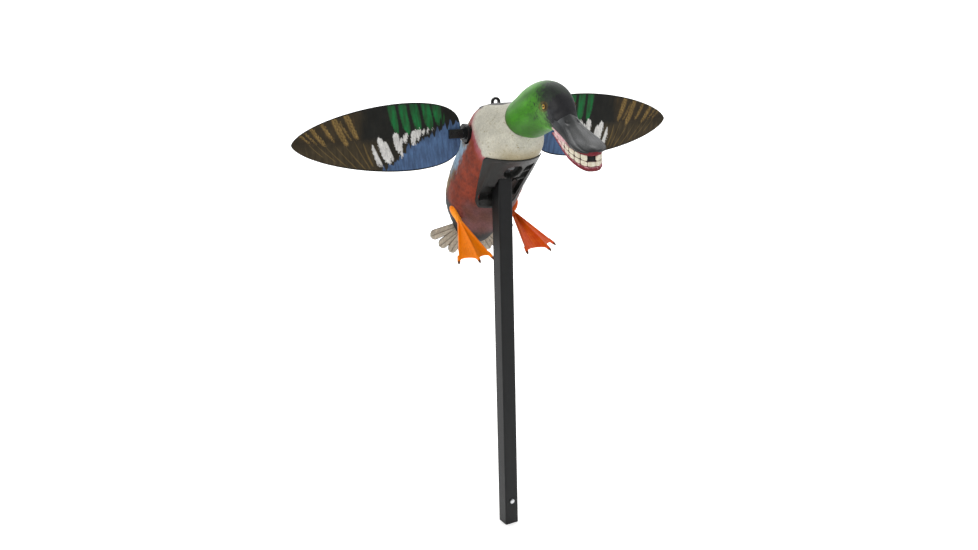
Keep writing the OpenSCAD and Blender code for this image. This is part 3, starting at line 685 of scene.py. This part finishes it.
def make_head():
    surface = Surface(HEAD_ROWS, 0, 7)
    rings = []
    for s in np.linspace(0.4, 7, 120):
        ring = row_ring(HEAD_ROWS, s, 0, 150)
        # A brow above each eye and a hollow in front of it
        for side in (-1, 1):
            eye = EYE * (side, 1, 1)
            near = np.linalg.norm(ring - eye, axis=1)
            brow = bell(np.linalg.norm(ring - (eye + (0, 1, 8)), axis=1), 6.5)
            ring = ring + np.array([side, 0, 0]) * (0.9 * brow - 0.9 * bell(near, 6.0))[:, None]
        rings.append(ring)
    # The face runs out onto the root of the bill
    face = [rings[-9], rings[-4]]
    face += [bill_ring(d, grow) for d, grow in ((6, 2.8), (11, 1.0), (16, -0.4), (20, -1.6))]
    flat = np.array([ring.ravel() for ring in face])
    rings = rings[:-4] + [row_at(flat, s).reshape(-1, 3) for s in np.linspace(1.1, len(face) - 1, 40)]
    solid("head_skin", *ring_mesh(rings), "head_green", "decoy", ("head_shell",),
          lambda p: head_colours(p, surface))


def rounded_cube(cells=7, power=4.0):
    """Points and faces of a cube with rounded edges, each coordinate between -1 and 1."""
    t = np.linspace(-1, 1, cells)
    parts = []
    for axis in range(3):
        for sign in (-1, 1):
            u, v = np.meshgrid(t, t, indexing="ij")
            p = np.empty((cells * cells, 3))
            p[:, axis] = sign
            p[:, (axis + 1) % 3] = u.ravel()
            p[:, (axis + 2) % 3] = v.ravel()
            faces = [(i * cells + j, i * cells + j + 1, (i + 1) * cells + j + 1, (i + 1) * cells + j)
                     for i in range(cells - 1) for j in range(cells - 1)]
            parts.append((p, faces))
    verts, faces = merge(parts)
    return verts / (np.abs(verts) ** power).sum(1, keepdims=True) ** (1 / power), faces


def make_eyes():
    b = circle(48)
    for side, node in ((-1, "eye_left"), (1, "eye_right")):
        centre = EYE * (side, 1, 1)
        outward = np.array([side, 0, 0])
        ball = []
        for a in np.linspace(0.02, pi - 0.02, 40):
            r = 5 * sin(a)
            ball.append(centre + np.stack([np.full(48, side * 5 * cos(a)), r * np.cos(b), r * np.sin(b)], 1))

        def paint(p):
            r = np.linalg.norm(p - (centre + (side * 4.6, -1.2, 0.4)), axis=1)
            return mix(C.pupil, C.iris, ease(1.5, 1.9, r), C.pupil, ease(3.0, 3.5, r))
        solid(node + "_ball", *ring_mesh(ball), "eye_gold", "decoy", (node,), paint)
        # The lid: a raised ring that follows the head around the eye
        lid = []
        for a in circle(44):
            mid = centre + np.array([side * 3.4, 4.7 * cos(a), 4.1 * sin(a)])
            away = np.array([0, cos(a), sin(a)])
            lid.append(np.array([mid + 0.95 * (cos(t) * away + sin(t) * outward) for t in circle(12)]))
        solid(node + "_lid", *ring_mesh(lid + lid[:1], False, False), "head_green", "decoy", (),
              lambda p: np.tile(C.tan_dark * 0.6, (len(p), 1)))


BILL_Y, BILL_Z, BILL_DROP = -180.0, 726.0, radians(32.5)
BILL_ROWS = np.array([
    [-8, 19, 12, 12], [0, 21, 12.5, 13], [13, 20, 9, 11.3], [30, 19, 5.3, 8.5],
    [46, 22, 4, 6.5], [62, 26.5, 3.2, 5], [76, 27.5, 2.6, 4], [86, 22, 1.8, 3], [90, 11, 1, 2.4],
], float)


def bill_point(x, d, h):
    """A point at x, at distance d from the face along the bill and h above its middle line."""
    c, s = cos(BILL_DROP), sin(BILL_DROP)
    return np.stack([x, BILL_Y - d * c - h * s, BILL_Z - d * s + h * c], 1)


def bill_section(row, d, grow, count):
    """Sideways and upward places round the bill at distance d, lifted off it by grow; which are above."""
    a = circle(count)
    sn, cs = np.sin(a), np.cos(a)
    pinch = float(ease(60, 0, d))
    x = (row[1] + grow) * cs * (1 - 0.35 * pinch * np.maximum(0, sn + 0.3))
    h = (np.where(sn > 0, row[2], row[3]) + grow) * np.sign(sn) * np.abs(sn) ** np.where(sn > 0, 1, 0.6)
    return x, h, sn > 0


def bill_row(d):
    """The bill's row at about distance d."""
    return row_at(BILL_ROWS, float(np.interp(d, BILL_ROWS[:, 0], np.arange(len(BILL_ROWS)))))


def bill_ring(d, grow, count=150):
    x, h, _ = bill_section(bill_row(d), d, grow, count)
    return bill_point(x, np.full(count, d), h)


def bill_local(p):
    c, s = cos(BILL_DROP), sin(BILL_DROP)
    y, z = BILL_Y - p[:, 1], p[:, 2] - BILL_Z
    return p[:, 0], y * c - z * s, y * s + z * c


def bill_cheeks():
    """Two thin sheets that carry the bill's sides down to the corners of the mouth."""
    parts = []
    for side in (-1, 1):
        rows = []
        for turn in np.linspace(86, 34, 44):
            low = mouth(side * turn, 0.4, 0.02)
            d = (BILL_Y - low[1]) / cos(BILL_DROP)
            wide = bill_row(d)[1] * (1 - 0.105 * float(ease(60, 0, d))) - 1.2
            high = bill_point(np.array([side * wide]), np.array([d]), np.array([0.6]))[0]
            t = np.linspace(0, 1, 14)[:, None]
            bulge = 1.6 * np.sin(pi * t) * np.array([side, 0, 0.3])
            rows.append(low * (1 - t) + high * t + bulge)
        top = np.array(rows)
        parts.append(sheet_mesh(top, top - np.array([side * 1.5, 0, 0.5])))
    return merge(parts)


def make_bill():
    count = 96
    rings = []
    for t in np.linspace(0, len(BILL_ROWS) - 1, 110):
        row = row_at(BILL_ROWS, t)
        x, h, upper = bill_section(row, row[0], 0, count)
        d = np.full(count, row[0])
        side = np.abs(x)
        nostril = bell(d - 25, 4.6) * bell(side - 10, 2.6)
        rim = bell(d - 25, 7.5) * bell(side - 10, 4.6)
        groove = bell(side - row[1] * 0.72, 2.2) * ease(20, 40, d)
        ridge = bell(x, 5) * ease(84, 50, d)
        nail = bell(x, 6) * bell(d - 84, 6)
        h = h + (0.9 * rim - 2.6 * nostril - 0.5 * groove + 0.5 * ridge + 0.7 * nail) * upper
        rings.append(bill_point(x, d, h))

    def paint(p):
        x, d, h = bill_local(p)
        side, fine = np.abs(x), wobble(p, 9, 21)
        return mix(
            C.charcoal,
            # painted highlights: lighter grey on the sides near the root and across the broad part
            C.charcoal_light, 0.6 * bell(d - 15, 15) * ease(9, 16, side),
            C.charcoal_light, 0.28 * bell(d - 66, 7) * ease(2, 10, side),
            C.charcoal_dark, 0.9 * bell(d - 25, 4.2) * bell(side - 10, 2.4),
            C.charcoal_dark, 0.65 * ease(80, 88, d + 1.5 * fine),
            C.charcoal_dark, 0.5 * ease(6, -2, d + fine),
            # painted shade: darker on the underside of the bill
            C.charcoal_dark, 0.45 * ease(0.4, -1.5, h))
    solid("bill_upper", *merge([ring_mesh(rings), bill_cheeks()]), "bill_charcoal", "decoy",
          ("upper_bill",), paint)


MOUTH = SimpleNamespace(back=-176.0, length=80.0, half=32.0, top=713.0, fall=40.0, depth=22.0)


def mouth(turn, inset, f):
    """A point on the mouth's band: turn from -90 to 90 degrees, inset from its face, f down its depth."""
    t = np.radians(np.asarray(turn, float))
    cs, sn = np.maximum(np.cos(t), 1e-6), np.sin(t)
    y = MOUTH.back - MOUTH.length * cs ** 0.75
    narrow = 1 - 0.26 * ease(0.75, 0, cs)
    x = np.sign(sn) * (MOUTH.half * narrow - inset) * np.abs(sn) ** 0.72
    z = MOUTH.top + (y - MOUTH.back) * MOUTH.fall / MOUTH.length
    deep = 4 + (MOUTH.depth - 4) * cs ** 0.6
    return np.stack([x, y + inset * cs, z - deep * f], -1)


def ahead(p):
    """How far forward in the mouth each point lies: 0 at its corners, 1 at the front."""
    return (MOUTH.back - p[:, 1]) / MOUTH.length


def mouth_tube(turns, middle_inset, half_inset, f_middle, f_half, sides=20, power=0.7, ripple=None):
    """A rounded bar that follows the mouth."""
    c = circle(sides)
    u = np.sign(np.cos(c)) * np.abs(np.cos(c)) ** power
    v = np.sign(np.sin(c)) * np.abs(np.sin(c)) ** power
    rings = []
    for t in turns:
        swell = 0 if ripple is None else ripple(t)
        inset = middle_inset - (half_inset + swell * np.maximum(0, u)) * u
        rings.append(mouth(np.full(sides, t), inset, f_middle + f_half * v))
    return ring_mesh(rings)


TOOTH_TURNS = [-84, -77, -70, -62, -52, -41, -28, -12, 3, 18, 33, 45, 55, 64, 72, 78, 84]


def make_mouth():
    turns = np.linspace(-86, 86, 150)

    def bumps(t):
        return 0.35 * sin(t * 0.55)
    lower = mouth_tube(turns, 3.0, 3.4, 0.86, 0.15, ripple=bumps)
    back = mouth_tube(turns, 5.0, 1.8, 0.34, 0.42, power=0.5)

    def jaw_paint(p):
        a = ahead(p)
        f = (MOUTH.top - a * MOUTH.fall - p[:, 2]) / (4 + (MOUTH.depth - 4) * unit(a) ** 0.8)
        return mix(
            C.gum,
            C.lip, ease(0.72, 0.8, f + 0.03 * wobble(p, 5, 31)),
            C.lip_dark, ease(0.93, 1.0, f),
            C.pupil, ease(0.66, 0.6, f))
    solid("jaw_lower", *merge([lower, back]), "jaw_red", "decoy", ("lower_jaw",), jaw_paint)

    gum = mouth_tube(turns, 1.5, 2.2, -0.12, 0.14, ripple=bumps)

    def gum_paint(p):
        return mix(
            C.gum_light,
            C.gum, unit(0.5 + 0.5 * wobble(p, 5, 32)),
            C.lip, ease(0.45, 0.8, ahead(p)))
    solid("gum_upper", *gum, "jaw_red", "decoy", ("upper_gum",), gum_paint)

    cube, cube_faces = rounded_cube()

    def tooth_row(f0, f1, skip):
        parts = []
        for i in range(len(TOOTH_TURNS) - 1):
            if i == skip:
                continue
            t0, t1 = TOOTH_TURNS[i] + 0.35, TOOTH_TURNS[i + 1] - 0.35
            turn = (t0 + t1) / 2 + (t1 - t0) / 2 * cube[:, 0]
            f = (f0 + f1) / 2 + (f1 - f0) / 2 * cube[:, 2]
            inset = 1.7 - 1.75 * cube[:, 1] * (1 + 0.05 * ((i * 7) % 3 - 1))
            parts.append((mouth(turn, inset, f), cube_faces))
        return merge(parts)

    def tooth_paint(p):
        fine = wobble(p, 6, 33)
        return mix(
            C.tooth,
            C.tooth_shade, unit(0.25 + 0.35 * fine),
            mix(C.gum, C.gum_light, unit(0.6 + 0.5 * fine)), 0.85 * ease(0.75, 0.35, ahead(p)))
    for name, f0, f1, skip in (("upper_teeth", -0.05, 0.36, 7), ("lower_teeth", 0.385, 0.7, -1)):
        solid(name + "_row", *tooth_row(f0, f1, skip), "tooth_cream", "decoy", (name,), tooth_paint)


# ------ tail and legs


def make_tail():
    """Ten overlapping feathers, each a cupped blade with a round end and a raised shaft."""
    root, tilt = np.array([0.0, 105.0, 528.0]), radians(-8)
    uu, vv = np.meshgrid(np.linspace(-1, 1, 25), np.linspace(0.12, 1, 40))
    parts = []
    for side in (-1, 1):
        for i in range(5):
            length = 46 + 38 * (i / 4) ** 0.7
            angle = radians(13 + 65 * i / 4)
            along = vv * length
            end = np.sqrt(unit(1 - unit((along - (length - 9)) / 9) ** 2))
            across = uu * ((6 + 3 * unit(along / (length - 9))) * np.maximum(end, 0.02))
            barbs = 0.28 * np.sin(along * 1.7 + np.abs(across) * 1.5)
            lift = 2.0 + 0.8 * bell(across, 1.1) + barbs - 1.3 * uu ** 2
            x = side * (across * cos(angle) + along * sin(angle))
            z = across * sin(angle) - along * cos(angle)
            grids = []
            for way in (1, -1):
                y = 1.1 * i - 2.2 - way * np.where(np.abs(uu) > 0.98, 0.3, lift * 0.95)
                turned = np.stack([x, y * cos(tilt) - z * sin(tilt), y * sin(tilt) + z * cos(tilt)], -1)
                grids.append(turned + root)
            parts.append(sheet_mesh(*grids))
    verts, faces = merge(parts)
    # Where each point lies on its feather: how near the edge, and how far out
    marks = np.tile(np.stack([np.abs(uu).ravel(), vv.ravel()], 1), (2 * len(parts), 1))
    tree = KDTree(len(verts))
    for k, p in enumerate(verts):
        tree.insert(p, k)
    tree.balance()

    def paint(p):
        edge, along = marks[[tree.find(q)[1] for q in p]].T
        return mix(
            C.tail,
            C.tail_dark, unit(0.25 + 0.3 * wobble(p, 6, 41)) * 0.6,
            C.tail_dark, ease(0.8, 1.0, edge),
            C.tail_dark, 0.6 * ease(0.16, 0.04, edge),
            C.black, 0.75 * ease(0.5, 0.15, along))
    solid("tail_feathers", verts, faces, "tail_grey", "decoy", ("tail_fan",), paint)


LEG_ROOT = np.array([60.0, 60.0, 562.0])
ANKLE = np.array([53.0, 58.0, 546.0])
TOES = {-1: [[33, -24, 489], [67, -41, 491], [91, -15, 487]],
        1: [[33, -24, 489], [67, -41, 493], [91, -18, 496]]}


def tube(path, radii, sides=20, flat=1.0):
    """A round or flattened tube along points."""
    path = np.asarray(path, float)
    rings = []
    a = circle(sides)
    for i, p in enumerate(path):
        run = path[min(i + 1, len(path) - 1)] - path[max(i - 1, 0)]
        run /= np.linalg.norm(run)
        across = np.cross(run, [0, 0, 1])
        across /= np.linalg.norm(across)
        up = np.cross(across, run)
        rings.append(p + radii[i] * (np.cos(a)[:, None] * across + flat * np.sin(a)[:, None] * up))
    return ring_mesh(rings)


def curve(points, count):
    """Points along a smooth curve through the given ones."""
    points = np.asarray(points, float)
    return np.array([row_at(points, s) for s in np.linspace(0, len(points) - 1, count)])


def make_leg(side, node):
    mirror = np.array([side, 1, 1.0])
    toes = [np.array(t, float) for t in TOES[side]]
    knee = (LEG_ROOT + ANKLE) / 2 + (1.5, -1.0, 0)
    shank = tube(curve([LEG_ROOT + (-4, 2, 3), LEG_ROOT, knee, ANKLE, ANKLE + (0, -6, -6)], 30),
                 np.interp(np.linspace(0, 1, 30), [0, 0.25, 0.6, 0.85, 1], [4.6, 5.9, 5.2, 4.8, 4.2]))
    parts = [shank, disc_rod(5, 52, 64, 60, 562)]
    # The foot is one skin: toes stand out of the web as ridges, and its front edge is scalloped
    us = np.linspace(0, 2, 61)
    vs = np.linspace(0.03, 1, 50)
    top = np.empty((len(vs), len(us), 3))
    bottom = np.empty_like(top)
    normal = np.cross(toes[0] - ANKLE, toes[2] - ANKLE)
    normal *= np.sign(normal[2]) / np.linalg.norm(normal)
    for j, u in enumerate(us):
        i = min(int(u), 1)
        t = u - i
        tip = toes[i] * (1 - t) + toes[i + 1] * t
        off = min(t, 1 - t)
        scallop = 0.955 - 0.075 * sin(pi * t) ** 0.7
        for k, v in enumerate(vs):
            mid = ANKLE + (tip - ANKLE) * v * scallop
            width = np.linalg.norm(toes[i + 1] - toes[i]) * v * off
            ridge = bell(width, 3.0)
            sag = -2.2 * sin(pi * t) ** 2 * v
            crease = 0.22 * sin(u * 42) * v * (1 - ridge)
            thick = 0.8 + (3.1 - 1.3 * v) * ridge
            top[k, j] = mid + normal * (sag + thick + crease)
            bottom[k, j] = mid + normal * (sag - thick)
    parts.append(sheet_mesh(top, bottom))
    for toe in toes:
        run = toe - ANKLE
        tip = toe + run / np.linalg.norm(run) * 1.6 + (0, 0, -1.6)
        path = curve([ANKLE + run * 0.86, ANKLE + run * 0.95, toe, tip], 14)
        parts.append(tube(path, np.interp(np.linspace(0, 1, 14), [0, 0.4, 0.7, 1], [2.7, 2.6, 1.7, 0.35])))
    verts, faces = merge(parts)
    far_foot_shade = 0.8 if side > 0 else 0.0  # painted shade: the foot further from the camera is painted darker, a deeper orange-red

    def paint(p):
        q = p * mirror
        reach = np.linalg.norm(q - ANKLE, axis=1)
        claws = np.min([np.linalg.norm(q - t, axis=1) for t in toes], axis=0)
        return mix(
            C.orange_light,
            C.orange, ease(6, 26, reach),
            C.orange_deep, unit(far_foot_shade + 0.08 * wobble(p, 8, 51) + 0.12 * ease(30, 80, reach)),
            C.claw, ease(4.6, 2.6, claws))
    solid(node + "_skin", verts * mirror, faces, "leg_orange", "decoy", (node,), paint)


# ------ wings


def wing_half(f):
    return WING_HALF * f ** 0.3 * (1 - f) ** 0.62 / 0.559


# Each streak runs from one end to the other: f and h of both ends, and the half width at both
SPOTS = [(0.548, -0.14, 0.5, -0.8, 0.01, 0.02), (0.506, 0.06, 0.45, -0.74, 0.022, 0.024),
         (0.472, -0.06, 0.428, -0.66, 0.014, 0.017), (0.406, 0.16, 0.388, -0.44, 0.024, 0.015),
         (0.372, 0.02, 0.372, -0.6, 0.012, 0.01), (0.34, 0.12, 0.35, -0.18, 0.02, 0.012),
         (0.287, 0.2, 0.298, -0.26, 0.026, 0.014), (0.257, 0.22, 0.268, -0.12, 0.019, 0.008),
         (0.23, 0.2, 0.238, 0.02, 0.014, 0.007), (0.202, 0.23, 0.208, 0.06, 0.011, 0.005),
         (0.174, 0.24, 0.18, 0.12, 0.007, 0.003)]
GREENS = [(0.432, 1.2, 0.392, 0.1, 0.03, 0.021), (0.365, 1.2, 0.328, 0.08, 0.03, 0.026),
          (0.297, 1.2, 0.258, 0.14, 0.03, 0.027), (0.226, 1.2, 0.188, 0.18, 0.034, 0.03),
          (0.146, 1.2, 0.124, 0.26, 0.042, 0.034)]
TANS = [(0.7, 0.9, 0.628, 0.02, 0.02, 0.018), (0.775, 0.85, 0.69, -0.14, 0.018, 0.022),
        (0.73, 0.6, 0.665, 0.02, 0.006, 0.009), (0.845, 0.7, 0.762, 0, 0.012, 0.014),
        (0.905, 0.55, 0.812, -0.1, 0.012, 0.018), (0.968, 0.36, 0.895, 0, 0.008, 0.01),
        (0.94, 0.42, 0.86, -0.02, 0.006, 0.009)]
THINS = [(0.6, -0.06, 0.548, -0.78, 0.003, 0.008), (0.7, -0.14, 0.59, -0.86, 0.002, 0.006),
         (0.65, 0, 0.565, -0.84, 0.002, 0.005), (0.76, -0.1, 0.64, -0.82, 0.002, 0.005),
         (0.82, -0.06, 0.7, -0.72, 0.002, 0.005), (0.87, 0, 0.76, -0.56, 0.002, 0.004),
         (0.91, 0.02, 0.83, -0.4, 0.002, 0.004)]


def streaks(f, h, rows, soft, ragged):
    """How far inside the nearest of some tapered strokes each point lies, from 0 to 1."""
    best = np.zeros(len(f))
    for f0, h0, f1, h1, w0, w1 in rows:
        run = (h - h0) / (h1 - h0)
        off = f - (f0 + (f1 - f0) * run) - 0.004 * np.sin(pi * unit(run))
        width = (w0 + (w1 - w0) * run) * unit(1 - (2 * unit(run) - 1) ** 4) ** 0.5
        best = np.maximum(best, ease(0.0, soft, width - np.abs(off) + ragged * (width > 0)))
    return best


def wing_colours(p, side):
    x, _, z = p.T
    f = unit((np.abs(x) - WING_ROOT) / (WING_TIP - WING_ROOT))
    h = (z - SHAFT_Z) / WING_HALF
    q = np.stack([x - z * 0.12 * side, z * 0, z], 1)
    streak, fine, broad = wobble(q * (1, 1, 0.16), 7, 61), wobble(q * (1, 1, 0.5), 3.4, 62), wobble(q, 40, 63)
    edge = 1 - np.abs(z - SHAFT_Z) / np.maximum(wing_half(np.clip(f, 1e-4, 1 - 1e-4)), 1)
    # Slate blue lower inner part
    border = np.interp(f, [0.0, 0.06, 0.10, 0.17, 0.24, 0.33, 0.37, 0.42, 0.5, 0.54],
                       [0.40, 0.34, 0.28, 0.08, -0.08, -0.24, -0.46, -0.70, -0.86, -1.1])
    slate = mix(C.wing_blue, C.wing_blue_dark, unit(0.45 + 0.35 * streak + 0.2 * broad))
    green = streaks(f, h + 0.05 * fine, GREENS, 0.009, 0.002 * streak)
    green = green * ease(0.10, 0.14, f + 0.03 * streak) * (0.93 - 0.35 * ease(0.3, 0.02, edge))
    inner = streaks(f, h, TANS, 0.012, -0.006)
    gold = mix(C.tan, C.tan_dark, unit(0.45 + 0.45 * fine),
               C.wing_brown, 0.45 * inner * unit(0.4 + 0.6 * fine))
    return mix(
        mix(C.wing_brown, C.wing_black, unit(0.5 + 0.45 * streak)),
        C.wing_black, ease(0.66, 0.58, f + 0.05 * h) * ease(-0.25, 0.05, h) * 0.9,
        C.olive_brown, ease(0.12, -0.3, h) * ease(0.47, 0.55, f) * unit(0.55 + 0.35 * streak),
        C.tan_dark, 0.4 * ease(0.58, 0.64, f) * ease(-0.3, 0.3, h) * unit(0.35 + 0.35 * streak),
        slate, ease(0.0, 0.06, border - h + 0.09 * streak),
        mix(C.wing_green, C.wing_green_dark, unit(0.25 + 0.35 * streak)), green,
        gold, 0.76 * streaks(f, h + 0.04 * fine, TANS, 0.012, 0.003),
        C.tan, 0.34 * streaks(f, h, THINS, 0.006, 0.002),
        mix(C.wing_white, C.wing_blue_dark, unit(0.08 + 0.14 * fine)),
        0.95 * streaks(f, h + 0.04 * fine, SPOTS, 0.005, 0.003 * fine),
        C.rim, ease(0.05, 0.025, edge) + ease(0.006, 0.003, np.minimum(f, 1 - f)))


def make_wing(side, node, body):
    """A thin sheet wing with a rolled rim; its paint is the same on both faces."""
    n = 380
    fs = (1 - np.cos(pi * np.linspace(0, 1, n))) / 2
    fs[0], fs[-1] = 0.0004, 0.9996
    js = np.linspace(-1, 1, 131)
    grids = np.empty((2, n, len(js), 3))
    for way, grid in zip((-1, 1), grids):
        for i, f in enumerate(fs):
            half = wing_half(f)
            rim = 0.35 * bell((1 - np.abs(js)) * half, 2.0)
            quill = 0.22 * bell(js * half, 1.2)
            grid[i, :, 0] = side * (WING_ROOT + f * (WING_TIP - WING_ROOT))
            grid[i, :, 1] = SHAFT_Y + way * (1.0 + (rim + quill) * ease(0, 0.1, f))
            grid[i, :, 2] = SHAFT_Z + js * half
    solid(node + "_sheet", *sheet_mesh(*grids), "wing_paint", body, (node,), lambda p: wing_colours(p, side))


# ------ belly pan

PAN_WALL = 2.2
FLOOR_V = -42.0  # depth of the wells' floor in the body's own frame
SWITCH_U = -28.0  # the switch's place along it


def pan_points(across, along, lift):
    """The pan's surface at fractions across and along it, lifted out of the belly."""
    start = 2.93 + 0.47 * across ** 2
    station = start + (6.05 - start) * along
    row = np.array([row_at(BODY_ROWS, s) for s in station])
    tail_end, front_end = np.maximum(0, (along - 0.86) / 0.14), 1 - np.minimum(1, along / 0.1)
    corner = 1 - 0.16 * tail_end ** 2 - 0.05 * front_end ** 2
    half = (53 - 15 * along ** 1.3) * corner
    x = across * half
    h = -(row[:, 5] + PAN_WALL) * np.sqrt(unit(1 - (x / (row[:, 3] + PAN_WALL)) ** 2))
    fall = np.radians(row[:, 2])
    y, z = row[:, 0] + h * np.sin(fall), row[:, 1] + h * np.cos(fall)
    k = sqrt(0.5)
    u = (y - MID_Y) * k - (z - MID_Z) * k
    v = (y - MID_Y) * k + (z - MID_Z) * k
    rim = ease(0.88, 0.80, np.abs(across)) * ease(0.03, 0.09, along) * ease(0.965, 0.92, along)
    wall = ease(0.80, 0.66, np.abs(across)) * ease(0.06, 0.3, along) * ease(0.93, 0.86, along)
    dish = ease(17.5, 13.5, np.hypot(x, u - SWITCH_U))
    left = ease(13.5, 10.0, (np.abs(x + 26) ** 4 + (np.abs(u - 26) / 1.35) ** 4) ** 0.25)
    slot_mid = 27 - 0.09 * (u + 5)
    right = ease(9.5, 7.0, np.abs(x - slot_mid)) * ease(-42, -36, u) * ease(40, 34, u)
    bar = ease(2.2, 1.2, np.abs(u + 2)) + ease(2.2, 1.2, np.abs(u + 22))
    channel = ease(20, 16.5, np.abs(x)) * ease(-14, -8, u) * ease(46, 40, u)
    sink = np.maximum.reduce([0.2 * rim + 0.14 * wall, dish, left, right * (1 - 0.55 * bar), channel])
    v = v * (1 - sink) + FLOOR_V * sink
    return from_frame(np.stack([x, u, v + lift], 1))


def make_pan():
    across, along = np.meshgrid(np.linspace(-1, 1, 121), np.linspace(0, 1, 131))
    grids = [pan_points(across.ravel(), along.ravel(), lift).reshape(131, 121, 3) for lift in (0, PAN_WALL)]
    pan = solid("pan_cover", *sheet_mesh(*grids), "pan_black", "decoy", (), None, 50)
    pole_hole = tool_piece(*block((-13.1, -13.1, 500), (13.1, 13.1, 646)))
    # The switch's hole, 9 mm in radius
    x, u = 9 * np.cos(circle(48)), SWITCH_U + 9 * np.sin(circle(48))
    rings = [from_frame(np.stack([x, u, np.full(48, v)], 1)) for v in (-80, 0)]
    cut(pan, [pole_hole, tool_piece(*ring_mesh(rings))])
    finish_piece(pan, "pan_black", None, 50)
    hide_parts("belly_pan")


def main():
    make_camera()
    make_studio()
    make_materials()
    dress_cad_nodes()
    surface = make_body()
    make_door(surface)
    make_head()
    make_eyes()
    make_bill()
    make_mouth()
    make_tail()
    make_leg(-1, "leg_left")
    make_leg(1, "leg_right")
    make_wing(-1, "wing_panel_left", "wing_left")
    make_wing(1, "wing_panel_right", "wing_right")
    make_pan()


main()
